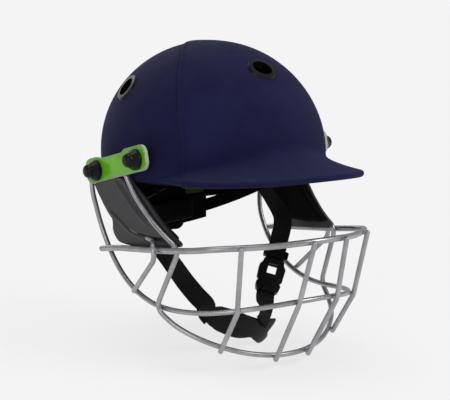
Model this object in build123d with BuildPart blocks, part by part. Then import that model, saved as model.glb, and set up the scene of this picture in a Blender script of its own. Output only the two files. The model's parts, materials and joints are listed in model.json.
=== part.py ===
"""Cricket helmet: cloth-covered shell with a peak, steel face guard, ear guards, fit band and chin strap.

Millimetres. +Z is up, the helmet faces -Y, and +X is the wearer's left. The origin is on the plane of
symmetry, at the level of the shell's brow rim and under the middle of the dome.
"""
import os
from math import asin, cos, degrees, radians, sin, sqrt, tan

from build123d import *

os.makedirs("parts", exist_ok=True)

# Dome of the helmet, outside the cloth
SHELL_HALF_WIDTH = 105.0
SHELL_HALF_LENGTH = 127.0
CROWN_RISE = 111.0
WIDEST_Z = 22.0
SKIRT_TAPER = 160.0
SKIRT_DEPTH = 90.0

# Layers, from the outside in
CLOTH_THICKNESS = 1.0
SHELL_WALL = 3.0
LAYER_GAP = 0.3
LINER_THICKNESS = 13.0
PAD_THICKNESS = 6.0
LINER_INSET = CLOTH_THICKNESS + SHELL_WALL + LAYER_GAP
PAD_INSET = LINER_INSET + LINER_THICKNESS + LAYER_GAP
SHELL_INNER_INSET = CLOTH_THICKNESS + SHELL_WALL

# Rim, seen from the side: level at the brow, then down to the nape
BROW_RIM_Z = 1.0
BROW_END_Y = 5.0
NAPE_START_Y = 62.0
NAPE_START_Z = -35.0
NAPE_RIM_Z = -46.0
RIM_BLEND = 50.0
RIM_TAPE_WIDTH = 5.0
RIM_TAPE_THICKNESS = 0.8
LINER_RIM_LIFT = 5.0

# Peak
PEAK_HALF_WIDTH = 98.0
PEAK_REACH = 115.0
PEAK_CENTRE_Y = -70.0
PEAK_EDGE_Z = 10.4
PEAK_CAMBER = 8.5
PEAK_EDGE_THICKNESS = 6.0
PEAK_ROOT = 8.0
PEAK_RISE = 29.0
PEAK_SLOPE = 16.0
PEAK_TEMPLE_SHARE = 0.25
PEAK_SPREAD_SHARE = 0.35
PEAK_ANGLES = (-108, -92, -72, -50, -25, 0, 25, 50, 72, 92, 108)

# Cloth seams, in plan: share of the half width, share of the half length
SEAM_GAP = 0.4
SEAM_SHARES = (
    (0.0, 0.20), (0.24, 0.09), (0.51, -0.165), (0.65, -0.29), (0.78, -0.44), (0.84, -0.56), (0.93, -0.66))

# Vents
VENT_HOLE_D = 20.0
VENT_FLANGE_D = 29.0
VENT_FLANGE_THICKNESS = 2.2
VENT_TUBE_WALL = 1.0
VENT_CLEARANCE = 0.25
VENT_FLANGE_SLOPE = 25.0
VENT_SEAT_GAP = 0.05
VENT_BACK_D = 27.0
VENT_BACK_THICKNESS = 1.6
VENT_LINER_D = 29.0
FRONT_VENT_Y = -79.5
SIDE_VENT_Y = 33.5
SIDE_VENT_X = 80.0

# Face guard wires
TOP_BAR_D = 6.0
WIRE_D = 5.0
WELD_GAP = 0.15
BEND_RADIUS = 11.0
TOP_BAR_LAYER = (TOP_BAR_D + WIRE_D) / 2 + WELD_GAP
WIRE_LAYER = WIRE_D + WELD_GAP
ROD_END_SHARE = 0.4
SHARP_TURN = 38.0
RUN_SHARE = 0.45
GUARD_HALF_WIDTH = 100.0
GUARD_REACH = 180.0
GUARD_DROP = 165.0

# Route points as shares of the guard's half width, reach and drop, from the wearer's left end to the middle
TOP_BAR_SHARES = (
    (1.012, 0.244, 0.443), (1.006, 0.10, 0.415), (0.998, -0.165, 0.388), (0.996, -0.41, 0.358),
    (0.98, -0.595, 0.330), (0.875, -0.715, 0.309), (0.68, -0.80, 0.303), (0.41, -0.905, 0.291),
    (0.12, -0.99, 0.273))
STAY_SHARES = (
    (1.105, 0.295, 0.00), (1.09, 0.305, 0.095), (1.02, 0.275, 0.315), (1.003, 0.18, 0.485), (1.00, 0.07, 0.594),
    (0.998, -0.06, 0.67), (0.995, -0.205, 0.712), (0.99, -0.355, 0.718), (0.975, -0.49, 0.709),
    (0.89, -0.605, 0.70), (0.73, -0.71, 0.682), (0.48, -0.83, 0.652), (0.16, -0.905, 0.628))
LOWER_BAR_SHARES = (
    (0.992, -0.383, 0.803), (0.875, -0.483, 0.865), (0.695, -0.57, 0.921), (0.47, -0.645, 0.965),
    (0.17, -0.693, 0.994))

# Where the lower bar lies on the ear guard and crosses the stay: shares of reach and drop
LOWER_BAR_EAR_SHARES = ((-0.02, -0.07), (-0.085, 0.065), (-0.215, 0.206), (-0.325, 0.29), (-0.432, 0.352))
LOWER_BAR_STAY_SHARES = (1.006, -0.275, 0.715)

# Cheek wire: under the ear guard's panel, over the top bar, then down to the stay
CHEEK_EAR_SHARES = ((0.11, 0.20), (0.05, 0.235), (-0.07, 0.307), (-0.225, 0.325))
CHEEK_BEND_SHARES = ((1.00, -0.292, 0.350), (0.995, -0.298, 0.425))
CHEEK_END_SHARES = (0.998, -0.055, 0.66)

# Uprights: where each crosses the top bar, the stay and the lower bar, as shares of the half width
UPRIGHT_SHARES = ((0.755, 0.70, 0.68), (0.185, 0.225, 0.195))
UPRIGHT_LAP = 3.0
UPRIGHT_BEND = 8.0
BAR_MIDDLE_SHARE = 0.5
BAR_SEARCH_STEPS = 30

# Ear guard: a flat moulding in a plane that leans in downwards and forwards
EAR_FACE_X = 107.0
EAR_LEAN_DOWN = 0.083
EAR_LEAN_FORWARD = 0.080
EAR_PLATE = 2.4
EAR_PANEL = 4.8
EAR_PAD_THICKNESS = 5.0
EAR_PAD_GAP = 0.3
EAR_HEIGHT = 63.0
EAR_LENGTH = 88.0
GROOVE_CLEARANCE = 0.25

# Outline points as shares of the ear guard's length, forward, and height, down
EAR_PLATE_SHARES = (
    (-0.46, 0.0), (-0.475, 0.22), (-0.34, 0.52), (-0.27, 0.665), (-0.285, 0.85), (-0.20, 1.00), (0.0, 1.03),
    (0.36, 0.985), (0.95, 0.88), (0.77, 0.75), (0.65, 0.63), (0.485, 0.44), (0.378, 0.28), (0.226, 0.11),
    (0.12, 0.0), (0.05, -0.14), (-0.10, -0.16), (-0.30, -0.06))
EAR_PANEL_SHARES = (
    (-0.48, 0.02), (-0.49, 0.10), (-0.43, 0.24), (-0.34, 0.42), (-0.26, 0.56), (-0.18, 0.65), (-0.02, 0.715),
    (0.22, 0.765), (0.50, 0.79), (0.68, 0.77), (0.46, 0.54), (0.24, 0.32), (0.13, 0.12), (0.03, -0.065))
EAR_PAD_SHARES = (
    (-0.30, 0.34), (-0.25, 0.68), (-0.12, 0.93), (0.52, 0.91), (0.88, 0.83), (0.62, 0.62), (0.46, 0.46),
    (0.34, 0.30), (0.20, 0.14), (0.06, 0.07), (-0.10, 0.12))

# Side clamp: a shallow tray on two studs, over the tops of the wires
CLAMP_TILT = 14.3
CLAMP_MID_Y = 4.7
CLAMP_MID_Z = 16.2
CLAMP_FACE_X = 114.8
CLAMP_LENGTH = 104.6
CLAMP_HEIGHT = 25.0
CLAMP_WAIST = 2.6
CLAMP_CORNER = 9.0
CLAMP_DEPTH = 3.4
CLAMP_SKIN = 1.6
CLAMP_WALL = 1.4
WAIST_SHARES = ((0.18, 0.0), (0.13, 1.0), (-0.22, 1.0), (-0.32, 0.0))
COVER_THICKNESS = 1.0
COVER_MARGIN = 0.5
CLAMP_OPEN_END = 34.0
CLAMP_OPEN_TOP = 2.0
STUD_SPACING = 70.6
STUD_MID_Y = 1.7
STUD_MID_Z = 16.1
STUD_D = 5.0
STUD_HEAD_D = 13.0
STUD_HEAD_THICKNESS = 1.6
STUD_CLEARANCE = 0.25
STUD_END = 6.0
SPACER_D = 9.0

# Clamp knob
KNOB_D = 20.5
KNOB_DISC = 2.6
KNOB_NECK_D = 14.0
KNOB_CONE = 5.5
KNOB_LENGTH = 13.0
KNOB_ROUND = 4.5
KNOB_NOTCHES = 12
KNOB_NOTCH_D = 1.4
WASHER_D = 15.0
WASHER_THICKNESS = 0.8
TURN_GAP = 0.1
RUNNING_CLEARANCE = 0.05
KNOB_BASE_X = CLAMP_FACE_X + COVER_THICKNESS + WASHER_THICKNESS + TURN_GAP
KNOB_BORE = 6.5

# Fit band, rear cradle and dial
BAND_HALF_WIDTH = 80.0
BAND_HALF_LENGTH = 98.0
BAND_THICKNESS = 2.4
BAND_HEIGHT = 13.0
BAND_TRAVEL = 10.0
BAND_FRONT_Y = -26.0
BAND_FRONT_Z = -0.5
BAND_BACK_Z = -57.5
ARM_END_X = 14.0
CRADLE_FRONT_Y = 74.0
CRADLE_HEIGHT = 27.0
CRADLE_THICKNESS = 2.6
CRADLE_PAD = 4.5
PIN_Y = -14.0
PIN_D = 4.0
PIN_HEAD_D = 8.0
PIN_HEAD_THICKNESS = 1.5
SLOT_CLEARANCE = 0.3
CLIP_WIDTH = 12.0
CLIP_THICKNESS = 3.0
CLIP_TOP_Z = 14.0
CLIP_ROOT = 8.0
CLIP_REACH = 9.0
HOUSING_Z = -61.0
HOUSING_LENGTH = 62.0
HOUSING_HEIGHT = 25.0
HOUSING_DEPTH = 6.5
HOUSING_CORNER = 8.0
DIAL_D = 27.0
DIAL_THICKNESS = 9.0
DIAL_RIBS = 20
DIAL_RIB_D = 2.2
SPINDLE_D = 7.0
SPINDLE_LENGTH = 5.0

# Chin strap
STRAP_WIDTH = 19.0
STRAP_THICKNESS = 1.8
STRAP_EYE_D = 19.0
STRAP_EYE_THICKNESS = 2.0
STRAP_EYE_OFFSET = 4.0
STRAP_SEAT = 1.7
STRAP_TUCK = 4.0
SWIVEL_D = 7.0
SWIVEL_PLAY = 0.3
SWIVEL_CAP_D = 11.0
SWIVEL_CAP = 1.2

# Pocket in the liner for the strap, on both sides
POCKET_X = 84.0
POCKET_FRONT_Y = -5.0
POCKET_BACK_Y = 64.0
POCKET_TOP_Z = 20.0

# Liner blocks: name, from, to
LINER_BLOCKS = (("front", -120.0, -36.0), ("crown", -33.0, 35.0), ("rear", 38.0, 120.0))

# Comfort pads
BROW_PAD_Y = -52.0
BROW_PAD_LOW_Z = 9.0
BROW_PAD_WIDTH = 120.0
BROW_PAD_HEIGHT = 24.0
CROWN_PAD_D = 92.0
SIDE_PAD_MID_Y = 4.0
SIDE_PAD_MID_Z = 40.0
SIDE_PAD_LENGTH = 66.0
SIDE_PAD_HEIGHT = 30.0
SIDE_PAD_CORNER = 9.0

# Strap centre lines after the anchors
RIGHT_STRAP_ROUTE = (
    (-88.0, 32.0, -16.0), (-88.0, 15.0, -33.0), (-87.0, -5.0, -50.0), (-81.0, -26.0, -68.0), (-70.0, -31.0, -85.0),
    (-59.0, -34.0, -101.0), (-51.0, -41.0, -114.0), (-44.0, -47.0, -124.0))
LEFT_STRAP_ROUTE = (
    (88.0, 32.0, -16.0), (87.5, 12.0, -35.0), (86.0, -7.0, -50.0), (83.5, -12.5, -61.0), (79.8, -12.6, -74.0))
LOWER_STRAP_ROUTE = ((42.0, -34.5, -134.0), (35.5, -43.0, -140.8))
RIGHT_SEW_PLACES = ((-41.0, -132.0), (-37.0, -138.0))
LEFT_SEW_PLACES = ((29.5, -147.0), (25.0, -151.0))

# Which way each strap faces at its route points
RIGHT_STRAP_FACES = (
    (-1.0, 0.0, 0.0), (-1.0, 0.0, 0.0), (-1.0, -0.1, 0.0), (-0.95, -0.3, 0.0), (-0.85, -0.5, 0.1), (-0.8, -0.6, 0.15),
    (-0.75, -0.65, 0.2), (-0.65, -0.75, 0.2), (-0.6, -0.8, 0.2))
LEFT_STRAP_FACES = (
    (1.0, 0.0, 0.0), (1.0, 0.0, 0.0), (0.95, 0.25, 0.1), (0.8, 0.6, -0.1), (0.62, 0.75, -0.3), (0.5, 0.76, -0.42),
    (0.43, 0.732, -0.529), (0.43, 0.732, -0.529), (0.43, 0.732, -0.529))
LOWER_STRAP_FACES = ((-0.43, -0.732, 0.529), (-0.43, -0.732, 0.529), (-0.3, -0.8, 0.48), (0.12, -0.94, 0.22))

# Buckle on the left strap
BUCKLE_TOP = (67.9, -17.5, -97.7)
BUCKLE_DOWN = (-0.527, -0.272, -0.805)
BUCKLE_FACE = (-0.43, -0.732, 0.529)
BUCKLE_WIDTH = 28.0
BUCKLE_THICKNESS = 8.0
BUCKLE_WALL = 1.6
BUCKLE_CAVITY = 5.0
SOCKET_LENGTH = 25.0
SOCKET_NECK = 3.5
SOCKET_SHARES = (
    (-0.38, -0.06), (-0.40, 0.16), (-0.50, 0.30), (-0.47, 1.00), (0.47, 1.00), (0.50, 0.30), (0.40, 0.16),
    (0.38, -0.06))
WINDOW_WIDTH = 9.5
WINDOW_LENGTH = 11.0
WINDOW_TOP = 4.5
PRONG_X = 9.2
PRONG_WIDTH = 3.4
PRONG_LENGTH = 20.0
PRONG_THICKNESS = 4.0
PRONG_FOOT = 3.4
PRONG_FOOT_D = 4.6
PRONG_PLAY = 0.5
PRONG_HOOK = 2.6
HOOK_SHARES = ((0.0, 0.98), (1.0, 0.72), (1.0, 0.40), (0.0, 0.22), (-0.4, 0.22), (-0.4, 0.98))
PRONG_PORT_TOP = 10.0
PRONG_PORT = 16.0
PLUG_BASE = 9.6
PLUG_GAP = 0.4
PLUG_SHARES = (
    (-0.47, 0.0), (-0.45, 0.55), (-0.38, 1.0), (0.38, 1.0), (0.45, 0.55), (0.47, 0.0))
TONGUE_WIDTH = 6.0
TONGUE_LENGTH = 9.0
SLIDER_TOP = -13.0
SLIDER_WIDTH = 26.0
SLIDER_HEIGHT = 9.0
SLIDER_THICKNESS = 5.2
SLIDER_CORNER = 2.0
SLIDER_GROOVE = 1.2
UPPER_STRAP_ENDS = (-14.0, -6.0, 1.5)
LOWER_STRAP_ENDS = (31.5, 38.0)

# Chin cup
CUP_HALF_LENGTH = 52.0
CUP_HEIGHT = 30.0
CUP_MID_Y = -22.0
CUP_MID_Z = -146.5
CUP_LOOK_Z = -146.5
CUP_BOWL_WIDTH = 70.0
CUP_BOWL_DEPTH = 27.0
CUP_BOWL_HEIGHT = 42.0
CUP_THICKNESS = 2.6
CUP_LINING = 2.4
CUP_LINING_INSET = 2.0
CUP_SHARES = (
    (-0.95, 0.40), (-0.71, 0.53), (-0.49, 0.64), (-0.19, 0.47), (0.10, 0.24), (0.29, 0.09), (0.48, -0.02),
    (1.08, -0.20), (0.94, -0.44), (0.80, -0.62), (0.86, -0.78), (0.74, -0.95), (0.60, -0.98), (0.40, -0.78),
    (0.32, -0.66), (-0.08, -0.58), (-0.30, -0.43), (-0.58, -0.19), (-0.75, 0.07), (-0.84, 0.28))

EAR_PLANE = Plane(
    origin=(EAR_FACE_X, 0, 0), x_dir=(-EAR_LEAN_FORWARD, -1, 0), z_dir=(1, -EAR_LEAN_FORWARD, -EAR_LEAN_DOWN))
BUCKLE_PLANE = Plane(
    origin=BUCKLE_TOP, x_dir=Vector(*BUCKLE_DOWN).cross(Vector(*BUCKLE_FACE)), z_dir=BUCKLE_FACE)


def write(part, name):
    """Label a finished sub-part and write it as its own file."""
    part.label = name
    export_step(part, f"parts/{name}.step")


def write_pair(part, name):
    """Write a piece of the wearer's left and its mirror image on the right."""
    write(part, f"{name}_left")
    write(mirror(part, about=Plane.YZ), f"{name}_right")


def write_both(part, name):
    """Write a piece of the wearer's left and its mirror image as one group of like pieces."""
    write(part + mirror(part, about=Plane.YZ), name)


def dome(inset):
    """Solid dome with its skirt, drawn in all round by an inset."""
    half_width = SHELL_HALF_WIDTH - inset
    taper = SKIRT_TAPER - inset
    low_angle = degrees(asin(SKIRT_DEPTH / taper))
    with BuildPart() as form:
        with BuildSketch(Plane.XZ):
            with BuildLine():
                cap = EllipticalCenterArc((0, WIDEST_Z), half_width, CROWN_RISE - inset, 0, arc_size=90)
                skirt = EllipticalCenterArc((0, WIDEST_Z), half_width, taper, -low_angle, arc_size=low_angle)
                Polyline(cap @ 1, (0, (skirt @ 0).Y), skirt @ 0)
            make_face()
        revolve(axis=Axis.Z)
    return scale(form.part, by=(1, (SHELL_HALF_LENGTH - inset) / half_width, 1))


def dome_x(y, z, inset):
    """Half width of the drawn-in dome at a place in the side view."""
    rise = CROWN_RISE - inset if z > WIDEST_Z else SKIRT_TAPER - inset
    rest = 1 - (y / (SHELL_HALF_LENGTH - inset)) ** 2 - ((z - WIDEST_Z) / rise) ** 2
    return (SHELL_HALF_WIDTH - inset) * sqrt(rest)


def dome_ray(angle, inset):
    """Distance from the peak's centre to the dome, along a level ray turned from straight ahead."""
    half_width = SHELL_HALF_WIDTH - inset
    half_length = SHELL_HALF_LENGTH - inset
    across = sin(radians(angle))
    along = -cos(radians(angle))
    square = (across / half_width) ** 2 + (along / half_length) ** 2
    linear = along * PEAK_CENTRE_Y / half_length ** 2
    rest = (PEAK_CENTRE_Y / half_length) ** 2 - 1
    return (-linear + sqrt(linear ** 2 - square * rest)) / square


def peak_section(angle, inset):
    """Upright slice through the peak, from inside the dome to the edge."""
    across = sin(radians(angle))
    along = cos(radians(angle))
    root = dome_ray(angle, inset)
    if along > 0:
        edge = 1 / sqrt((across / PEAK_HALF_WIDTH) ** 2 + (along / PEAK_REACH) ** 2) - inset
    else:
        edge = PEAK_HALF_WIDTH / abs(across) - inset
    low = PEAK_EDGE_Z - PEAK_CAMBER * (edge * across / PEAK_HALF_WIDTH) ** 2 + inset
    thick = PEAK_EDGE_THICKNESS - 2 * inset
    spread = max(PEAK_TEMPLE_SHARE, PEAK_SPREAD_SHARE + (1 - PEAK_SPREAD_SHARE) * along)
    rise = (PEAK_RISE - PEAK_EDGE_THICKNESS) * spread
    leave = low + thick + rise
    slope_rise = max(edge - root, 0) * tan(radians(PEAK_SLOPE))
    bend = low + thick + min(slope_rise, rise / 2)
    plane = Plane(origin=(0, PEAK_CENTRE_Y, 0), x_dir=(across, -along, 0), z_dir=(-along, -across, 0))
    with BuildSketch(plane) as section:
        with BuildLine():
            top = Bezier((root - CLOTH_THICKNESS, leave), (root + CLOTH_THICKNESS, bend),
                         (edge - thick / 2, low + thick))
            nose = ThreePointArc(top @ 1, (edge, low + thick / 2), (edge - thick / 2, low))
            Polyline(nose @ 1, (root - PEAK_ROOT, low), (root - PEAK_ROOT, leave), top @ 0)
        make_face()
    return section.sketch


def peak(inset):
    """Solid peak, rooted inside the dome, drawn in all round by an inset."""
    return loft([peak_section(angle, inset) for angle in PEAK_ANGLES])


def above_rim(lift):
    """Everything above the rim line, seen from the side, raised by a lift."""
    front = -2 * SHELL_HALF_LENGTH
    back = 2 * SHELL_HALF_LENGTH
    nape_slope = (NAPE_RIM_Z - NAPE_START_Z) / (SHELL_HALF_LENGTH - NAPE_START_Y)
    with BuildPart() as block:
        with BuildSketch(Plane.YZ):
            with BuildLine():
                FilletPolyline((front, BROW_RIM_Z + lift), (BROW_END_Y, BROW_RIM_Z + lift),
                               (NAPE_START_Y, NAPE_START_Z + lift),
                               (back, NAPE_START_Z + lift + nape_slope * (back - NAPE_START_Y)), radius=RIM_BLEND)
                Polyline((back, NAPE_START_Z + lift + nape_slope * (back - NAPE_START_Y)), (back, 2 * CROWN_RISE),
                         (front, 2 * CROWN_RISE), (front, BROW_RIM_Z + lift))
            make_face()
        extrude(amount=2 * SHELL_HALF_WIDTH, both=True)
    return block.part


def front_zone(back):
    """Upright block over the front cloth panel, moved back by an amount."""
    left = [(x * SHELL_HALF_WIDTH, y * SHELL_HALF_LENGTH + back) for x, y in SEAM_SHARES]
    right = [(-x, y) for x, y in reversed(left[1:])]
    far = -2 * SHELL_HALF_LENGTH
    with BuildPart() as block:
        with BuildSketch(Plane.XY.offset(-SKIRT_DEPTH)):
            with BuildLine():
                seam = Spline(*right, *left)
                Polyline(seam @ 1, (2 * SHELL_HALF_WIDTH, far), (-2 * SHELL_HALF_WIDTH, far), seam @ 0)
            make_face()
        extrude(amount=SKIRT_DEPTH + 2 * CROWN_RISE)
    return block.part


def vent_plane(x, y):
    """Plane on the cloth at a vent, facing out of the dome."""
    z = WIDEST_Z + CROWN_RISE * sqrt(1 - (x / SHELL_HALF_WIDTH) ** 2 - (y / SHELL_HALF_LENGTH) ** 2)
    normal = (x / SHELL_HALF_WIDTH ** 2, y / SHELL_HALF_LENGTH ** 2, (z - WIDEST_Z) / CROWN_RISE ** 2)
    return Plane(origin=(x, y, z), z_dir=normal)


def vent_holes(diameter):
    """Cylinders through the dome at the three vents."""
    depth = LINER_INSET + LINER_THICKNESS + PAD_THICKNESS
    with BuildPart() as holes:
        for plane in VENT_PLANES:
            with BuildSketch(plane.offset(-2 * depth)):
                Circle(diameter / 2)
            extrude(amount=3 * depth)
    return holes.part


def vent_plug(plane, diameter, slope):
    """Short plug on a vent's axis, narrowing outwards by a slope."""
    with BuildPart() as plug:
        with BuildSketch(plane.offset(-diameter / 2)):
            Circle(diameter / 2 * (1 + tan(radians(slope))))
        extrude(amount=diameter, taper=slope)
    return plug.part


def side_cylinders(diameter, x_from, x_to):
    """Level cylinders on the studs' axes, on both sides."""
    with BuildPart() as rods:
        for side in (1, -1):
            for y, z in STUD_PLACES:
                with BuildSketch(Plane(origin=(side * x_from, y, z), z_dir=(side, 0, 0))):
                    Circle(diameter / 2)
                extrude(amount=x_to - x_from)
    return rods.part


def corner_radii(points):
    """Radius at each corner of a route: as wide as its runs allow, but close at a sharp turn."""
    radii = []
    for before, corner, after in zip(points, points[1:], points[2:]):
        first = Vector(*corner) - Vector(*before)
        second = Vector(*after) - Vector(*corner)
        turn = first.get_angle(second)
        widest = RUN_SHARE * min(first.length, second.length) / tan(radians(turn) / 2)
        radii.append(min(widest, BEND_RADIUS) if turn > SHARP_TURN else widest)
    return radii


def route(points):
    """Runs and tangent arcs through a list of points."""
    with BuildLine() as line:
        FilletPolyline(*points, radius=corner_radii(points))
    return line.wires()[0]


def rod(path, diameter):
    """Round wire along a path, with rounded ends."""
    with BuildPart() as wire:
        with BuildSketch(Plane(origin=path @ 0, z_dir=path % 0)):
            Circle(diameter / 2)
        sweep(path=path)
        ends = wire.faces().filter_by(GeomType.PLANE).edges()
        fillet(ends, diameter * ROD_END_SHARE)
    return wire.part


def mirrored(points):
    """A route's left half and its mirror image, as one list."""
    return list(points) + [(-x, y, z) for x, y, z in reversed(points)]


def guard_point(shares, layer=0):
    """Place in the face guard from its shares, set outwards by a layer of wire."""
    return (shares[0] * GUARD_HALF_WIDTH + layer, shares[1] * GUARD_REACH, -shares[2] * GUARD_DROP)


def ear_face(y, z):
    """Where the ear guard's outer face is, at a place in the side view."""
    return EAR_FACE_X + EAR_LEAN_DOWN * z + EAR_LEAN_FORWARD * y


def on_ear(shares):
    """Place of a wire that lies on the ear guard."""
    y = shares[0] * GUARD_REACH
    z = -shares[1] * GUARD_DROP
    return (ear_face(y, z) + WIRE_D / 2 + LAYER_GAP, y, z)


def crossing(path, x):
    """Share of a mirrored bar's length at which its left half last passes a place across."""
    low = 0
    high = BAR_MIDDLE_SHARE
    for _ in range(BAR_SEARCH_STEPS):
        middle = (low + high) / 2
        if (path @ middle).X > x:
            low = middle
        else:
            high = middle
    return low


def lap_point(path, x, run, reach):
    """Point outside a bar where an upright crosses it."""
    place = crossing(path, x)
    outward = (path % place).cross(run).normalized()
    if outward.Y > 0:
        outward = -outward
    return path @ place + outward * reach


def lapped_upright(crossings):
    """Centre line of an upright that laps over the three bars from outside."""
    bars = ((top_bar_path, TOP_BAR_LAYER), (stay_path, WIRE_LAYER), (lower_bar_path, WIRE_LAYER))
    marks = [path @ crossing(path, share * GUARD_HALF_WIDTH) for (path, _), share in zip(bars, crossings)]
    upper_run = (marks[1] - marks[0]).normalized()
    lower_run = (marks[2] - marks[1]).normalized()
    turn = radians(upper_run.get_angle(lower_run))
    bend_lift = UPRIGHT_BEND * (1 / cos(turn / 2) - 1)
    runs = (upper_run, (upper_run + lower_run).normalized(), lower_run)
    lifts = (0, bend_lift, 0)
    places = [lap_point(path, share * GUARD_HALF_WIDTH, run, layer + lift)
              for (path, layer), share, run, lift in zip(bars, crossings, runs, lifts)]
    upper_end = places[0] - (places[1] - places[0]).normalized() * UPRIGHT_LAP
    lower_end = places[2] + (places[2] - places[1]).normalized() * UPRIGHT_LAP
    with BuildLine() as line:
        FilletPolyline(upper_end, places[1], lower_end, radius=UPRIGHT_BEND)
    return line.wires()[0]


def closed_face(points):
    """Flat face with smoothly rounded corners at every point."""
    with BuildSketch(Plane.XY) as face:
        with BuildLine():
            FilletPolyline(*points, radius=corner_radii(points[-1:] + points + points[:1]), close=True)
        make_face()
    return face.sketch


def ear_points(shares):
    """Outline points on the ear guard's plane, forward and down."""
    return [(forward * EAR_LENGTH, down * EAR_HEIGHT) for forward, down in shares]


def ear_slab(shares, low, high):
    """Slab on the ear guard's plane between two heights above its outer face."""
    face = closed_face(ear_points(shares))
    with BuildPart() as slab:
        with BuildSketch(EAR_PLANE.offset(low)):
            add(face)
        extrude(amount=high - low)
    return slab.part


def clamp_slab(inset, x_from, x_to):
    """Slab of the side clamp's outline, drawn in by an inset, between two distances out."""
    with BuildPart() as slab:
        with BuildSketch(Plane(origin=(x_from, CLAMP_MID_Y, CLAMP_MID_Z), x_dir=CLAMP_ALONG, z_dir=(1, 0, 0))):
            RectangleRounded(CLAMP_LENGTH, CLAMP_HEIGHT, CLAMP_CORNER)
            with BuildLine():
                Polyline([(along * CLAMP_LENGTH, down * CLAMP_WAIST - CLAMP_HEIGHT / 2) for along, down in WAIST_SHARES],
                         close=True)
            make_face(mode=Mode.SUBTRACT)
            if inset:
                offset(amount=-inset)
        extrude(amount=x_to - x_from)
    return slab.part


def stud_seat(y, z, radius, inset, pick):
    """Height of the drawn-in dome under a round face on a stud's axis, by its highest or lowest rim point."""
    return pick(dome_x(y + dy * radius, z + dz * radius, inset) for dy, dz in ((1, 0), (-1, 0), (0, 1), (0, -1)))


def level_rod(diameter, x_from, x_to, y, z):
    """Level cylinder across the helmet."""
    with BuildPart() as cylinder:
        with BuildSketch(Plane(origin=(x_from, y, z), z_dir=(1, 0, 0))):
            Circle(diameter / 2)
        extrude(amount=x_to - x_from)
    return cylinder.part


def knob(y, z):
    """Clamp knob on a stud's axis."""
    with BuildPart() as form:
        with BuildSketch(Plane(origin=(KNOB_BASE_X, y, z), x_dir=(0, 1, 0), z_dir=(0, 0, 1))):
            with BuildLine():
                Polyline((0, 0), (KNOB_D / 2, 0), (KNOB_D / 2, -KNOB_DISC), (KNOB_NECK_D / 2, -KNOB_DISC - KNOB_CONE),
                         (KNOB_NECK_D / 2, -KNOB_LENGTH), (0, -KNOB_LENGTH), close=True)
            make_face()
        revolve(axis=Axis((0, y, z), (1, 0, 0)))
        fillet(form.faces().sort_by(Axis.X)[-1].edges(), KNOB_ROUND)
        with BuildSketch(Plane(origin=(KNOB_BASE_X, y, z), z_dir=(1, 0, 0))):
            Circle(STUD_D / 2 + RUNNING_CLEARANCE)
        extrude(amount=KNOB_BORE, mode=Mode.SUBTRACT)
        with BuildSketch(Plane(origin=(KNOB_BASE_X, y, z), z_dir=(1, 0, 0))):
            with PolarLocations(KNOB_D / 2, KNOB_NOTCHES):
                Circle(KNOB_NOTCH_D / 2)
        extrude(amount=KNOB_DISC, mode=Mode.SUBTRACT)
    return form.part


def band_ring(inset, thickness):
    """Upright oval ring of the fit band, drawn in by an inset."""
    with BuildPart() as form:
        with BuildSketch(Plane.XY.offset(-SKIRT_TAPER)):
            Ellipse(BAND_HALF_WIDTH - inset, BAND_HALF_LENGTH - inset)
            Ellipse(BAND_HALF_WIDTH - inset - thickness, BAND_HALF_LENGTH - inset - thickness, mode=Mode.SUBTRACT)
        extrude(amount=2 * SKIRT_TAPER)
    return form.part


def band_inner_x(y):
    """Half width inside the fit band at a place from front to back."""
    return (BAND_HALF_WIDTH - BAND_THICKNESS) * sqrt(1 - (y / (BAND_HALF_LENGTH - BAND_THICKNESS)) ** 2)


def band_z(y):
    """Middle height of the fit band at a place from front to back."""
    return BAND_FRONT_Z + (BAND_BACK_Z - BAND_FRONT_Z) * (y - BAND_FRONT_Y) / (BAND_HALF_LENGTH - BAND_FRONT_Y)


def band_slab(y_from, height, x_from, x_to):
    """Slanted slab across the helmet that follows the fit band's slope, from a place back."""
    y_to = BAND_HALF_LENGTH + HOUSING_DEPTH + DIAL_THICKNESS
    with BuildPart() as slab:
        with BuildSketch(Plane(origin=(x_from, 0, 0), x_dir=(0, 1, 0), z_dir=(1, 0, 0))):
            with BuildLine():
                Polyline((y_from, band_z(y_from) - height / 2), (y_to, band_z(y_to) - height / 2),
                         (y_to, band_z(y_to) + height / 2), (y_from, band_z(y_from) + height / 2), close=True)
            make_face()
        extrude(amount=x_to - x_from)
    return slab.part


def strap(points, faces):
    """Flat webbing lofted along a route, turned to face a given way at each point."""
    sections = []
    vectors = [Vector(*point) for point in points]
    for index, (place, face) in enumerate(zip(vectors, faces)):
        before = vectors[max(index - 1, 0)]
        after = vectors[min(index + 1, len(vectors) - 1)]
        run = (after - before).normalized()
        across = run.cross(Vector(*face)).normalized()
        with BuildSketch(Plane(origin=place, x_dir=across, z_dir=run)) as section:
            Rectangle(STRAP_WIDTH, STRAP_THICKNESS)
        sections.append(section.sketch)
    return loft(sections, ruled=True)


def buckle_point(across, down, out=0):
    """Place on the buckle's own plane."""
    return tuple(BUCKLE_PLANE.from_local_coords(Vector(across, down, out)))


def cup_bowl(inset):
    """Solid bowl of the chin cup, drawn in by an inset."""
    width = CUP_BOWL_WIDTH - inset
    depth = CUP_BOWL_DEPTH - inset
    height = CUP_BOWL_HEIGHT - inset
    ball = Sphere(width)
    return Location((0, CUP_MID_Y, CUP_MID_Z)) * scale(ball, by=(1, depth / width, height / width))


def cup_y(x, z, out):
    """How far forward the chin cup's outer face is, plus a distance out."""
    width = CUP_BOWL_WIDTH + out
    height = CUP_BOWL_HEIGHT + out
    rest = 1 - (x / width) ** 2 - ((z - CUP_MID_Z) / height) ** 2
    return CUP_MID_Y - (CUP_BOWL_DEPTH + out) * sqrt(rest)


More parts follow.
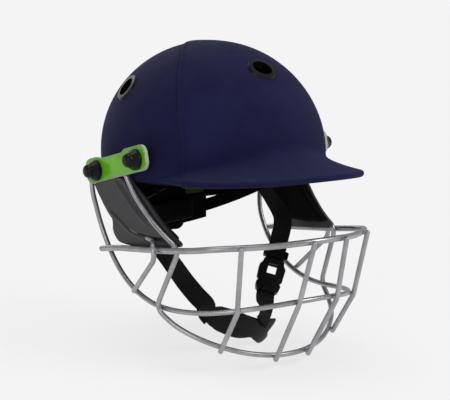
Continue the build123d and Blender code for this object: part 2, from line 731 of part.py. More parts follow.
def cup_face(x, z):
    """Which way the chin cup's outer face looks."""
    depth = CUP_MID_Y - cup_y(x, z, 0)
    return (x / CUP_BOWL_WIDTH ** 2, -depth / CUP_BOWL_DEPTH ** 2, (z - CUP_MID_Z) / CUP_BOWL_HEIGHT ** 2)


def cup_block(inset):
    """Block ahead of the face with the chin cup's outline, drawn in by an inset."""
    face = closed_face([(across * CUP_HALF_LENGTH, up * CUP_HEIGHT) for across, up in CUP_SHARES])
    with BuildPart() as block:
        with BuildSketch(Plane(origin=(0, CUP_MID_Y, CUP_LOOK_Z), x_dir=(1, 0, 0), z_dir=(0, -1, 0))):
            add(face)
            if inset:
                offset(amount=-inset)
        extrude(amount=2 * CUP_BOWL_DEPTH)
    return block.part


# Shell and cloth: one form, drawn in layer by layer and cut along the rim
VENT_PLANES = [vent_plane(0, FRONT_VENT_Y)] + [vent_plane(x, SIDE_VENT_Y) for x in (SIDE_VENT_X, -SIDE_VENT_X)]
STUD_ALONG = STUD_SPACING / 2
STUD_PLACES = [(STUD_MID_Y - side * STUD_ALONG * cos(radians(CLAMP_TILT)),
                STUD_MID_Z + side * STUD_ALONG * sin(radians(CLAMP_TILT))) for side in (1, -1)]
CLAMP_ALONG = (0, -cos(radians(CLAMP_TILT)), sin(radians(CLAMP_TILT)))
rim_block = above_rim(0)
shell_core = (dome(CLOTH_THICKNESS) + peak(CLOTH_THICKNESS) - dome(SHELL_INNER_INSET)) & rim_block
stud_bores = side_cylinders(STUD_D + 2 * STUD_CLEARANCE, 0, CLAMP_FACE_X)
vent_bores = vent_holes(VENT_HOLE_D + 2 * VENT_TUBE_WALL + 2 * VENT_CLEARANCE)

with BuildPart() as outer_shell:
    add(shell_core - stud_bores - vent_bores)
write(outer_shell.part, "outer_shell")

cloth = ((dome(0) + peak(0)) & rim_block) - dome(CLOTH_THICKNESS) - peak(CLOTH_THICKNESS)
cloth = cloth - stud_bores - vent_bores

with BuildPart() as front_panel:
    add(cloth & front_zone(0))
write(front_panel.part, "front_cloth_panel")

rear_cloth = cloth - front_zone(SEAM_GAP)

left_half = Box(SHELL_HALF_WIDTH, 4 * SHELL_HALF_LENGTH, 4 * CROWN_RISE, align=(Align.MIN, Align.CENTER, Align.CENTER))
left_cloth = rear_cloth & (Location((SEAM_GAP / 2, 0, 0)) * left_half)
with BuildPart() as side_panel_left:
    add(left_cloth)
write_pair(side_panel_left.part, "side_cloth_panel")

binding_ring = (dome(0) - dome(SHELL_INNER_INSET + RIM_TAPE_THICKNESS)) & above_rim(-RIM_TAPE_THICKNESS)
binding_ring = binding_ring - above_rim(RIM_TAPE_WIDTH - RIM_TAPE_THICKNESS)
bound_wall = (dome(0) - dome(SHELL_INNER_INSET)) & rim_block
with BuildPart() as rim_binding:
    add(binding_ring)
    add(bound_wall, mode=Mode.SUBTRACT)
write(rim_binding.part, "rim_binding")

# Vent eyelets: a domed flange and tube outside, a ring on the tube inside
flange_zone = dome(-VENT_FLANGE_THICKNESS) - dome(-VENT_SEAT_GAP)
tube_zone = dome(-VENT_FLANGE_THICKNESS) - dome(SHELL_INNER_INSET + VENT_BACK_THICKNESS)
back_zone = dome(SHELL_INNER_INSET) - dome(SHELL_INNER_INSET + VENT_BACK_THICKNESS)
flange_plugs = [vent_plug(plane, VENT_FLANGE_D, VENT_FLANGE_SLOPE) for plane in VENT_PLANES]
tube_plugs = [vent_plug(plane, VENT_HOLE_D + 2 * VENT_TUBE_WALL, 0) for plane in VENT_PLANES]
back_plugs = [vent_plug(plane, VENT_BACK_D, 0) for plane in VENT_PLANES]
open_holes = vent_holes(VENT_HOLE_D)
with BuildPart() as vent_eyelets:
    for flange, tube in zip(flange_plugs, tube_plugs):
        add((flange & flange_zone) + (tube & tube_zone) - open_holes)
write(vent_eyelets.part, "vent_eyelets")

with BuildPart() as vent_backs:
    for back in back_plugs:
        add(back & back_zone)
    add(vent_holes(VENT_HOLE_D + 2 * VENT_TUBE_WALL + 2 * RUNNING_CLEARANCE), mode=Mode.SUBTRACT)
write(vent_backs.part, "vent_back_rings")

# Side clamps: studs through the shell, a tray over the wires, a cover, washers and knobs
tube_bore = STUD_D + 2 * STUD_CLEARANCE
with BuildPart() as studs_left:
    for y, z in STUD_PLACES:
        head_x = stud_seat(y, z, STUD_HEAD_D / 2, SHELL_INNER_INSET, min) - STUD_CLEARANCE
        add(level_rod(STUD_HEAD_D, head_x - STUD_HEAD_THICKNESS, head_x, y, z))
        add(level_rod(STUD_D, head_x, KNOB_BASE_X + STUD_END, y, z))
write_both(studs_left.part, "clamp_studs")

with BuildPart() as spacers_left:
    for y, z in STUD_PLACES:
        seat_x = stud_seat(y, z, SPACER_D / 2, 0, max) + STUD_CLEARANCE
        add(level_rod(SPACER_D, seat_x, CLAMP_FACE_X - CLAMP_SKIN, y, z) - level_rod(tube_bore, 0, CLAMP_FACE_X, y, z))
write_both(spacers_left.part, "clamp_spacers")

with BuildPart() as side_plate_left:
    add(clamp_slab(0, CLAMP_FACE_X - CLAMP_DEPTH, CLAMP_FACE_X))
    add(clamp_slab(CLAMP_WALL, CLAMP_FACE_X - CLAMP_DEPTH, CLAMP_FACE_X - CLAMP_SKIN), mode=Mode.SUBTRACT)
    with BuildSketch(Plane(origin=(0, CLAMP_MID_Y, CLAMP_MID_Z), x_dir=CLAMP_ALONG, z_dir=(1, 0, 0))):
        with Locations((CLAMP_OPEN_END - CLAMP_LENGTH, CLAMP_OPEN_TOP)):
            Rectangle(CLAMP_LENGTH, CLAMP_HEIGHT, align=(Align.MIN, Align.MIN))
    extrude(amount=CLAMP_FACE_X - CLAMP_SKIN, mode=Mode.SUBTRACT)
    add(stud_bores, mode=Mode.SUBTRACT)
write_pair(side_plate_left.part, "side_plate")

with BuildPart() as side_cover_left:
    add(clamp_slab(COVER_MARGIN, CLAMP_FACE_X, CLAMP_FACE_X + COVER_THICKNESS))
    for y, z in STUD_PLACES:
        add(level_rod(tube_bore, 0, KNOB_BASE_X, y, z), mode=Mode.SUBTRACT)
write_pair(side_cover_left.part, "side_cover")

with BuildPart() as washers_left:
    for y, z in STUD_PLACES:
        add(level_rod(WASHER_D, CLAMP_FACE_X + COVER_THICKNESS, KNOB_BASE_X - TURN_GAP, y, z))
        add(level_rod(tube_bore, 0, KNOB_BASE_X, y, z), mode=Mode.SUBTRACT)
write_both(washers_left.part, "knob_washers")

for knob_name, (y, z) in zip(("front_knob", "rear_knob"), STUD_PLACES):
    with BuildPart() as knob_left:
        add(knob(y, z))
    write_pair(knob_left.part, knob_name)

# Face guard: three bars round the face, two cheek wires and four uprights
top_bar_path = route(mirrored([guard_point(shares, TOP_BAR_LAYER) for shares in TOP_BAR_SHARES]))
stay_path = route(mirrored([guard_point(shares) for shares in STAY_SHARES]))
lower_half = [on_ear(shares) for shares in LOWER_BAR_EAR_SHARES]
lower_half += [guard_point(LOWER_BAR_STAY_SHARES, WIRE_LAYER)]
lower_half += [guard_point(shares) for shares in LOWER_BAR_SHARES]
lower_bar_path = route(mirrored(lower_half))
cheek_points = [on_ear(shares) for shares in CHEEK_EAR_SHARES]
cheek_points += [guard_point(shares, 2 * TOP_BAR_LAYER) for shares in CHEEK_BEND_SHARES]
cheek_points += [guard_point(CHEEK_END_SHARES, WIRE_LAYER)]
cheek_path = route(cheek_points)

with BuildPart() as top_bar:
    add(rod(top_bar_path, TOP_BAR_D))
write(top_bar.part, "top_bar")

with BuildPart() as stay:
    add(rod(stay_path, WIRE_D))
write(stay.part, "middle_bar")

with BuildPart() as lower_bar:
    add(rod(lower_bar_path, WIRE_D))
write(lower_bar.part, "lower_bar")

with BuildPart() as cheek_wire_left:
    add(rod(cheek_path, WIRE_D))
write_pair(cheek_wire_left.part, "cheek_wire")

for upright_name, crossings in zip(("outer_upright", "inner_upright"), UPRIGHT_SHARES):
    with BuildPart() as upright_left:
        add(rod(lapped_upright(crossings), WIRE_D))
    write_pair(upright_left.part, upright_name)

# Ear guards, grooved for the wires, with soft pads inside
with BuildPart() as ear_guard_left:
    add(ear_slab(EAR_PLATE_SHARES, -EAR_PLATE, 0))
    add(ear_slab(EAR_PANEL_SHARES, -EAR_PLATE, EAR_PANEL))
    for path in (cheek_path, lower_bar_path):
        add(rod(path, WIRE_D + 2 * GROOVE_CLEARANCE), mode=Mode.SUBTRACT)
    add(clamp_slab(-LAYER_GAP, CLAMP_FACE_X - CLAMP_SKIN - LAYER_GAP, CLAMP_FACE_X + EAR_PANEL), mode=Mode.SUBTRACT)
write_pair(ear_guard_left.part, "ear_guard")

with BuildPart() as ear_pad_left:
    add(ear_slab(EAR_PAD_SHARES, -EAR_PLATE - LAYER_GAP - EAR_PAD_THICKNESS, -EAR_PLATE - LAYER_GAP))
write_pair(ear_pad_left.part, "ear_pad")

# Strap anchors inside the rear studs
pivot_y, pivot_z = STUD_PLACES[1]
rear_head_x = stud_seat(pivot_y, pivot_z, STUD_HEAD_D / 2, SHELL_INNER_INSET, min) - STUD_CLEARANCE
swivel_x = rear_head_x - STUD_HEAD_THICKNESS
eye_outer_x = swivel_x - SWIVEL_PLAY
eye_inner_x = eye_outer_x - STRAP_EYE_THICKNESS
cap_x = eye_inner_x - SWIVEL_PLAY
with BuildPart() as swivel_left:
    add(level_rod(SWIVEL_D, cap_x, swivel_x, pivot_y, pivot_z))
    add(level_rod(SWIVEL_CAP_D, cap_x - SWIVEL_CAP, cap_x, pivot_y, pivot_z))
write_pair(swivel_left.part, "strap_swivel")

# Temple clips: hung from the liner, each with a headed pin through the band's slot
pin_z = band_z(PIN_Y)
clip_x = BAND_HALF_WIDTH + LAYER_GAP
head_far_x = band_inner_x(PIN_Y - PIN_HEAD_D / 2) - LAYER_GAP
clip_drop = CLIP_TOP_Z - pin_z + CLIP_WIDTH / 2
clip_root = Box(CLIP_REACH, CLIP_WIDTH, CLIP_ROOT, align=(Align.MIN, Align.CENTER, Align.MAX))
clip_root = Location((clip_x, PIN_Y, CLIP_TOP_Z)) * clip_root
clip_leg = Box(CLIP_THICKNESS, CLIP_WIDTH, clip_drop, align=(Align.MIN, Align.CENTER, Align.MAX))
clip_leg = Location((clip_x, PIN_Y, CLIP_TOP_Z)) * clip_leg
with BuildPart() as temple_clip_left:
    add(clip_root + clip_leg)
    add(level_rod(PIN_D, head_far_x, clip_x, PIN_Y, pin_z))
    add(level_rod(PIN_HEAD_D, head_far_x - PIN_HEAD_THICKNESS, head_far_x, PIN_Y, pin_z))
write_pair(temple_clip_left.part, "temple_clip")

# Liner blocks and comfort pads inside the shell
pocket_length = POCKET_BACK_Y - POCKET_FRONT_Y
side_pocket = Box(2 * SHELL_HALF_WIDTH, pocket_length, SKIRT_TAPER, align=(Align.MIN, Align.MIN, Align.MAX))
side_pocket = Location((POCKET_X, POCKET_FRONT_Y, POCKET_TOP_Z)) * side_pocket
stud_pockets = side_cylinders(STUD_HEAD_D + 2 * LAYER_GAP, cap_x - SWIVEL_CAP - LAYER_GAP, SHELL_HALF_WIDTH)
liner_zone = (dome(LINER_INSET) & above_rim(LINER_RIM_LIFT)) - dome(LINER_INSET + LINER_THICKNESS)
liner_zone = liner_zone - side_pocket - mirror(side_pocket, about=Plane.YZ) - stud_pockets
liner_zone = liner_zone - vent_holes(VENT_LINER_D) - clip_root - mirror(clip_root, about=Plane.YZ)
for liner_name, y_from, y_to in LINER_BLOCKS:
    with BuildPart() as liner:
        with BuildSketch(Plane.XZ.offset(-y_to)):
            Rectangle(4 * SHELL_HALF_WIDTH, 4 * SHELL_HALF_WIDTH)
        extrude(amount=y_to - y_from)
        add(liner_zone, mode=Mode.INTERSECT)
    write(liner.part, f"liner_{liner_name}")

pad_zone = (dome(PAD_INSET) - dome(PAD_INSET + PAD_THICKNESS)) - vent_holes(VENT_LINER_D)
with BuildPart() as brow_pad:
    with BuildSketch(Plane.XZ.offset(-BROW_PAD_Y)):
        with Locations((0, BROW_PAD_LOW_Z)):
            Rectangle(BROW_PAD_WIDTH, BROW_PAD_HEIGHT, align=(Align.CENTER, Align.MIN))
    extrude(amount=SHELL_HALF_LENGTH)
    add(pad_zone, mode=Mode.INTERSECT)
write(brow_pad.part, "brow_pad")

with BuildPart() as crown_pad:
    with BuildSketch(Plane.XY.offset(WIDEST_Z)):
        Circle(CROWN_PAD_D / 2)
    extrude(amount=CROWN_RISE)
    add(pad_zone, mode=Mode.INTERSECT)
write(crown_pad.part, "crown_pad")

with BuildPart() as side_pad_left:
    with BuildSketch(Plane.YZ):
        with Locations((SIDE_PAD_MID_Y, SIDE_PAD_MID_Z)):
            RectangleRounded(SIDE_PAD_LENGTH, SIDE_PAD_HEIGHT, SIDE_PAD_CORNER)
    extrude(amount=SHELL_HALF_WIDTH)
    add(pad_zone, mode=Mode.INTERSECT)
write_pair(side_pad_left.part, "side_pad")

# Fit band: two arms, a rear cradle with its pad, a housing and a dial
arm_half = BAND_HALF_WIDTH + HOUSING_DEPTH
slot_height = PIN_D + 2 * SLOT_CLEARANCE
with BuildPart() as band_arm_left:
    add(band_slab(BAND_FRONT_Y, BAND_HEIGHT, ARM_END_X, arm_half))
    add(band_ring(0, BAND_THICKNESS), mode=Mode.INTERSECT)
    with BuildSketch(Plane(origin=(0, PIN_Y + BAND_TRAVEL / 2, pin_z), x_dir=(0, 1, 0), z_dir=(1, 0, 0))):
        SlotCenterToCenter(BAND_TRAVEL, slot_height)
    extrude(amount=arm_half, mode=Mode.SUBTRACT)
write_pair(band_arm_left.part, "band_arm")

with BuildPart() as rear_cradle:
    add(band_slab(CRADLE_FRONT_Y, CRADLE_HEIGHT, -arm_half, arm_half))
    add(band_ring(BAND_THICKNESS, CRADLE_THICKNESS), mode=Mode.INTERSECT)
write(rear_cradle.part, "rear_cradle")

with BuildPart() as cradle_pad:
    add(band_slab(CRADLE_FRONT_Y + CRADLE_PAD, CRADLE_HEIGHT - CRADLE_PAD, -arm_half, arm_half))
    add(band_ring(BAND_THICKNESS + CRADLE_THICKNESS + LAYER_GAP, CRADLE_PAD), mode=Mode.INTERSECT)
write(cradle_pad.part, "cradle_pad")

with BuildPart() as dial_housing:
    with BuildSketch(Plane.XZ.offset(-BAND_HALF_LENGTH / 2)):
        with Locations((0, HOUSING_Z)):
            RectangleRounded(HOUSING_LENGTH, HOUSING_HEIGHT, HOUSING_CORNER)
    extrude(amount=-BAND_HALF_LENGTH)
    add(band_ring(-HOUSING_DEPTH, HOUSING_DEPTH), mode=Mode.INTERSECT)
write(dial_housing.part, "dial_housing")

spindle_base_y = BAND_HALF_LENGTH + HOUSING_DEPTH
with BuildPart() as dial_spindle:
    with BuildSketch(Plane(origin=(0, spindle_base_y, HOUSING_Z), z_dir=(0, 1, 0))):
        Circle(SPINDLE_D / 2)
    extrude(amount=SPINDLE_LENGTH)
write(dial_spindle.part, "dial_spindle")

with BuildPart() as fit_dial:
    with BuildSketch(Plane(origin=(0, spindle_base_y + TURN_GAP, HOUSING_Z), z_dir=(0, 1, 0))):
        Circle(DIAL_D / 2)
        with PolarLocations(DIAL_D / 2, DIAL_RIBS):
            Circle(DIAL_RIB_D / 2, mode=Mode.SUBTRACT)
    extrude(amount=DIAL_THICKNESS)
    with BuildSketch(Plane(origin=(0, spindle_base_y, HOUSING_Z), z_dir=(0, 1, 0))):
        Circle(SPINDLE_D / 2 + RUNNING_CLEARANCE)
    extrude(amount=SPINDLE_LENGTH + SLOT_CLEARANCE, mode=Mode.SUBTRACT)
write(fit_dial.part, "fit_dial")

# Chin strap: one length on the right; on the left a buckle between an upper and a lower length
strap_x = (eye_outer_x + eye_inner_x) / 2
right_points = [(-strap_x, pivot_y - STRAP_EYE_OFFSET, pivot_z - STRAP_EYE_OFFSET)] + list(RIGHT_STRAP_ROUTE)
right_points += [(x, cup_y(x, z, STRAP_SEAT), z) for x, z in RIGHT_SEW_PLACES]
left_points = [(strap_x, pivot_y - STRAP_EYE_OFFSET, pivot_z - STRAP_EYE_OFFSET)] + list(LEFT_STRAP_ROUTE)
left_points += [buckle_point(0, down) for down in UPPER_STRAP_ENDS]
lower_points = [buckle_point(0, down) for down in LOWER_STRAP_ENDS] + list(LOWER_STRAP_ROUTE)
lower_points += [(x, cup_y(x, z, STRAP_SEAT), z) for x, z in LEFT_SEW_PLACES]

right_faces = list(RIGHT_STRAP_FACES) + [cup_face(x, z) for x, z in RIGHT_SEW_PLACES]
lower_faces = list(LOWER_STRAP_FACES) + [cup_face(x, z) for x, z in LEFT_SEW_PLACES]
right_webbing = strap(right_points, right_faces)
left_webbing = strap(left_points, LEFT_STRAP_FACES)
lower_webbing = strap(lower_points, lower_faces)

with BuildPart() as right_strap:
    add(right_webbing)
    add(level_rod(STRAP_EYE_D, -eye_outer_x, -eye_inner_x, pivot_y, pivot_z))
    add(level_rod(SWIVEL_D + 2 * SLOT_CLEARANCE, -SHELL_HALF_WIDTH, 0, pivot_y, pivot_z), mode=Mode.SUBTRACT)
write(right_strap.part, "right_strap")

with BuildPart() as left_strap:
    add(left_webbing)
    add(level_rod(STRAP_EYE_D, eye_inner_x, eye_outer_x, pivot_y, pivot_z))
    add(level_rod(SWIVEL_D + 2 * SLOT_CLEARANCE, 0, SHELL_HALF_WIDTH, pivot_y, pivot_z), mode=Mode.SUBTRACT)
write(left_strap.part, "left_upper_strap")

with BuildPart() as lower_strap:
    add(lower_webbing)
write(lower_strap.part, "left_lower_strap")

# Buckle: slider, socket, plug and two prongs that squeeze in
slot_width = STRAP_WIDTH + 2 * SLOT_CLEARANCE
slot_depth = STRAP_THICKNESS + 2 * SLOT_CLEARANCE
slider_mid = SLIDER_TOP + SLIDER_HEIGHT / 2
socket_face = closed_face([(across * BUCKLE_WIDTH, down * SOCKET_LENGTH) for across, down in SOCKET_SHARES])
with BuildPart() as slider:
    with BuildSketch(BUCKLE_PLANE.offset(-SLIDER_THICKNESS / 2)):
        with Locations((0, slider_mid)):
            RectangleRounded(SLIDER_WIDTH, SLIDER_HEIGHT, SLIDER_CORNER)
    extrude(amount=SLIDER_THICKNESS)
    with BuildSketch(BUCKLE_PLANE.offset(-slot_depth / 2)):
        with Locations((0, slider_mid)):
            Rectangle(slot_width, 2 * SLIDER_HEIGHT)
    extrude(amount=slot_depth, mode=Mode.SUBTRACT)
    with BuildSketch(BUCKLE_PLANE.offset(SLIDER_THICKNESS / 2)):
        with Locations((0, slider_mid)):
            Rectangle(slot_width, SLIDER_GROOVE)
    extrude(amount=-SLIDER_GROOVE / 2, mode=Mode.SUBTRACT)
write(slider.part, "strap_slider")

with BuildPart() as socket:
    with BuildSketch(BUCKLE_PLANE.offset(-BUCKLE_THICKNESS / 2)):
        add(socket_face)
    extrude(amount=BUCKLE_THICKNESS)
    with BuildSketch(BUCKLE_PLANE.offset(-BUCKLE_CAVITY / 2)):
        with Locations((0, SOCKET_NECK)):
            Rectangle(BUCKLE_WIDTH - 2 * BUCKLE_WALL, SOCKET_LENGTH, align=(Align.CENTER, Align.MIN))
        with Locations((0, PRONG_PORT_TOP)):
            Rectangle(2 * BUCKLE_WIDTH, PRONG_PORT, align=(Align.CENTER, Align.MIN))
    extrude(amount=BUCKLE_CAVITY, mode=Mode.SUBTRACT)
    with BuildSketch(BUCKLE_PLANE.offset(-BUCKLE_THICKNESS)):
        with Locations((0, WINDOW_TOP)):
            Rectangle(WINDOW_WIDTH, WINDOW_LENGTH, align=(Align.CENTER, Align.MIN))
    extrude(amount=2 * BUCKLE_THICKNESS, mode=Mode.SUBTRACT)
    with BuildSketch(BUCKLE_PLANE.offset(-slot_depth / 2)):
        with Locations((0, -SOCKET_NECK)):
            Rectangle(slot_width, 2 * SOCKET_NECK - BUCKLE_WALL, align=(Align.CENTER, Align.MIN))
    extrude(amount=slot_depth, mode=Mode.SUBTRACT)
write(socket.part, "buckle_socket")

plug_top = SOCKET_LENGTH + PLUG_GAP
foot_down = plug_top + PRONG_FOOT
plug_face = closed_face([(across * BUCKLE_WIDTH, plug_top + down * PLUG_BASE) for across, down in PLUG_SHARES])
with BuildPart() as plug:
    with BuildSketch(BUCKLE_PLANE.offset(-BUCKLE_THICKNESS / 2)):
        add(plug_face)
    extrude(amount=BUCKLE_THICKNESS)
    with BuildSketch(BUCKLE_PLANE.offset(-BUCKLE_CAVITY / 2 + SLOT_CLEARANCE)):
        with Locations((0, plug_top + BUCKLE_WALL)):
            Rectangle(TONGUE_WIDTH, TONGUE_LENGTH, align=(Align.CENTER, Align.MAX))
    extrude(amount=BUCKLE_CAVITY - 2 * SLOT_CLEARANCE)
    with BuildSketch(BUCKLE_PLANE.offset(-BUCKLE_CAVITY / 2)):
        for side in (1, -1):
            with Locations((side * PRONG_X, foot_down)):
                Circle(PRONG_FOOT_D / 2 + SLOT_CLEARANCE)
            with Locations((side * PRONG_X, foot_down)):
                Rectangle(PRONG_WIDTH + 2 * PRONG_PLAY, 2 * PRONG_FOOT_D, align=(Align.CENTER, Align.MAX))
    extrude(amount=BUCKLE_CAVITY, mode=Mode.SUBTRACT)
    with BuildSketch(BUCKLE_PLANE.offset(-slot_depth / 2)):
        with Locations((0, plug_top + PLUG_BASE)):
            Rectangle(slot_width, 2 * STRAP_TUCK, align=(Align.CENTER, Align.CENTER))
    extrude(amount=slot_depth, mode=Mode.SUBTRACT)
write(plug.part, "buckle_plug")

for prong_name, side in (("buckle_prong_left", 1), ("buckle_prong_right", -1)):
    with BuildPart() as prong:
        with BuildSketch(BUCKLE_PLANE.offset(-PRONG_THICKNESS / 2)):
            with Locations((side * PRONG_X, foot_down)):
                Circle(PRONG_FOOT_D / 2)
                Rectangle(PRONG_WIDTH, PRONG_LENGTH, align=(Align.CENTER, Align.MAX))
            with BuildLine():
                Polyline([(side * (PRONG_X + PRONG_WIDTH / 2 + out * PRONG_HOOK), foot_down - up * PRONG_LENGTH)
                          for out, up in HOOK_SHARES], close=True)
            make_face()
        extrude(amount=PRONG_THICKNESS)
    write(prong.part, prong_name)

# Chin cup with its lining
cup_wall = cup_bowl(0) - cup_bowl(CUP_THICKNESS)
lining_wall = cup_bowl(CUP_THICKNESS + RUNNING_CLEARANCE) - cup_bowl(CUP_THICKNESS + CUP_LINING)
with BuildPart() as chin_cup:
    add(cup_block(0))
    add(cup_wall, mode=Mode.INTERSECT)
write(chin_cup.part, "chin_cup")

with BuildPart() as cup_lining:
    add(cup_block(CUP_LINING_INSET))
    add(lining_wall, mode=Mode.INTERSECT)
write(cup_lining.part, "chin_cup_lining")
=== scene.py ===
"""Looks of the cricket helmet: cloth, webbing, padding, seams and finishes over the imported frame."""
import json
from math import asin, atan2, cos, pi, radians, sin, sqrt, tan

import bmesh
import bpy
import numpy as np
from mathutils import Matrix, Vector
from mathutils.bvhtree import BVHTree


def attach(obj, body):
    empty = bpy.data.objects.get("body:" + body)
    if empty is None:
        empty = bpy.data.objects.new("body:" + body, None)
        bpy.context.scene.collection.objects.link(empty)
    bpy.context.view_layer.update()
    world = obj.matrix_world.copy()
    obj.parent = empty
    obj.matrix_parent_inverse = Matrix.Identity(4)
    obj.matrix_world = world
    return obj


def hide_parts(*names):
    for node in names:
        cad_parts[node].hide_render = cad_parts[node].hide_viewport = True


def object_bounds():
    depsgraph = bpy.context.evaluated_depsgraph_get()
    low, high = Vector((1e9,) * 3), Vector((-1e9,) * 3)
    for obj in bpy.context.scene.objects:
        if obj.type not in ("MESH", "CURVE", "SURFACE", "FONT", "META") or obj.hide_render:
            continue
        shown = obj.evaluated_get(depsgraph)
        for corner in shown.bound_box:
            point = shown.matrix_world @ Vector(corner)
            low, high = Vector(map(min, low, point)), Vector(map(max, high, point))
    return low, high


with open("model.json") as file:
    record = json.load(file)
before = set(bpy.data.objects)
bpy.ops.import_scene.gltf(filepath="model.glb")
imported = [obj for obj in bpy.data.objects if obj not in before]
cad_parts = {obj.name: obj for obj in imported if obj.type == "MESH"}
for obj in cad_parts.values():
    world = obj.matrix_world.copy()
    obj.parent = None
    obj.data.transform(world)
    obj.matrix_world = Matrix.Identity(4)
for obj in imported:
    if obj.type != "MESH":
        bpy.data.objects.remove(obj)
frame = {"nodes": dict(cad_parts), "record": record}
cad_low, cad_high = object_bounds()
NODES = frame["nodes"]
MM = 0.001
SIDES = ("left", "right")

# Camera angles in degrees, distances in metres
AZIMUTH, ELEVATION, DISTANCE, LENS = -38.0, 8.52, 1.6, 127.12
LOOK_AT = (0, -0.0216, -0.0261)
CLIP_END = 200.0
FLOOR_Z = cad_low.z - 0.0005
FLOOR_HALF_SIDE = 60.0
FLOOR_COLOUR = (0.90, 0.90, 0.905, 1)
BACKDROP = (0.905, 0.905, 0.913, 1)
SHADE_NEAR, SHADE_FAR, SHADE_SHARE = 0.12, 0.75, 0.80
SKY_COLOUR, SKY_STRENGTH = (0.97, 0.98, 1.0, 1), 0.42
# Name, place, side and power of each square lamp
LAMPS = (("key", (0.9, -1.7, 1.5), 1.0, 26.0), ("fill", (-1.9, -1.0, 0.7), 1.2, 10.0),
         ("top", (-0.2, 0.2, 2.2), 1.2, 15.0), ("rear", (0.4, 2.0, 1.0), 1.4, 8.0))


def camera():
    """Camera at the photograph's angle."""
    a, e = radians(AZIMUTH), radians(ELEVATION)
    back = Vector((sin(a) * cos(e), -cos(a) * cos(e), sin(e)))
    data = bpy.data.cameras.new("camera")
    data.lens = LENS
    data.clip_end = CLIP_END
    obj = bpy.data.objects.new("camera", data)
    obj.location = Vector(LOOK_AT) + back * DISTANCE
    obj.rotation_euler = back.to_track_quat("Z", "Y").to_euler()
    bpy.context.scene.collection.objects.link(obj)
    bpy.context.scene.camera = obj


def node(tree, kind, **settings):
    """A shader node with its settings: sockets by name or index, else attributes."""
    made = tree.nodes.new(kind)
    for key, value in settings.items():
        if key.startswith("in_"):
            made.inputs[int(key[3:])].default_value = value
        elif hasattr(made, key):
            setattr(made, key, value)
        else:
            made.inputs[key.replace("_", " ")].default_value = value
    return made


def stage_material():
    """Pale floor that keeps the object's shadow near it and is even further off."""
    mat = bpy.data.materials.new("floor")
    mat.use_nodes = True
    t = mat.node_tree
    t.nodes.clear()
    out = node(t, "ShaderNodeOutputMaterial")
    diffuse = node(t, "ShaderNodeBsdfDiffuse", Color=FLOOR_COLOUR)
    glow = node(t, "ShaderNodeEmission", Color=BACKDROP, Strength=1.0)
    place = node(t, "ShaderNodeTexCoord")
    length = node(t, "ShaderNodeVectorMath", operation="LENGTH")
    ramp = node(t, "ShaderNodeMapRange", in_1=SHADE_NEAR, in_2=SHADE_FAR, in_3=SHADE_SHARE, in_4=1.0, clamp=True)
    path = node(t, "ShaderNodeLightPath")
    seen = node(t, "ShaderNodeMath", operation="MAXIMUM")
    passed = node(t, "ShaderNodeMath", operation="MAXIMUM")
    share = node(t, "ShaderNodeMath", operation="MULTIPLY")
    mix = node(t, "ShaderNodeMixShader")
    link = t.links.new
    link(place.outputs["Object"], length.inputs[0])
    link(length.outputs["Value"], ramp.inputs[0])
    link(path.outputs["Is Camera Ray"], seen.inputs[0])
    link(path.outputs["Is Glossy Ray"], seen.inputs[1])
    link(seen.outputs[0], passed.inputs[0])
    link(path.outputs["Is Transmission Ray"], passed.inputs[1])
    link(ramp.outputs[0], share.inputs[0])
    link(passed.outputs[0], share.inputs[1])
    link(share.outputs[0], mix.inputs[0])
    link(diffuse.outputs[0], mix.inputs[1])
    link(glow.outputs[0], mix.inputs[2])
    link(mix.outputs[0], out.inputs[0])
    return mat


def stage():
    """Floor, world and soft lights."""
    mesh = bpy.data.meshes.new("floor")
    corners = [(x * FLOOR_HALF_SIDE, y * FLOOR_HALF_SIDE, 0) for x, y in ((-1, -1), (1, -1), (1, 1), (-1, 1))]
    mesh.from_pydata(corners, [], [(0, 1, 2, 3)])
    floor = bpy.data.objects.new("floor", mesh)
    floor.location = (0, 0, FLOOR_Z)
    mesh.materials.append(stage_material())
    bpy.context.scene.collection.objects.link(floor)

    world = bpy.data.worlds.new("world")
    bpy.context.scene.world = world
    world.use_nodes = True
    t = world.node_tree
    t.nodes.clear()
    out = node(t, "ShaderNodeOutputWorld")
    light = node(t, "ShaderNodeBackground", Color=SKY_COLOUR, Strength=SKY_STRENGTH)
    seen = node(t, "ShaderNodeBackground", Color=BACKDROP, Strength=1.0)
    path = node(t, "ShaderNodeLightPath")
    mix = node(t, "ShaderNodeMixShader")
    t.links.new(path.outputs["Is Camera Ray"], mix.inputs[0])
    t.links.new(light.outputs[0], mix.inputs[1])
    t.links.new(seen.outputs[0], mix.inputs[2])
    t.links.new(mix.outputs[0], out.inputs[0])

    for name, place, side, power in LAMPS:
        data = bpy.data.lights.new(name, "AREA")
        data.shape = "RECTANGLE"
        data.size = data.size_y = side
        data.energy = power
        obj = bpy.data.objects.new(name, data)
        obj.location = place
        obj.rotation_euler = Vector(place).to_track_quat("Z", "Y").to_euler()
        bpy.context.scene.collection.objects.link(obj)


camera()
stage()
bpy.context.scene.view_settings.view_transform = "Standard"


# Grain of the roughness, and how much longer a webbing's ribs are than wide
GRAIN_SIZE, RIB_STRETCH = 0.004, 2.5


def srgb(*colour):
    """A screen colour as the linear colour that shaders take."""
    linear = [((c / 255 + 0.055) / 1.055) ** 2.4 if c > 10 else c / 255 / 12.92 for c in colour]
    return (*linear, 1.0)


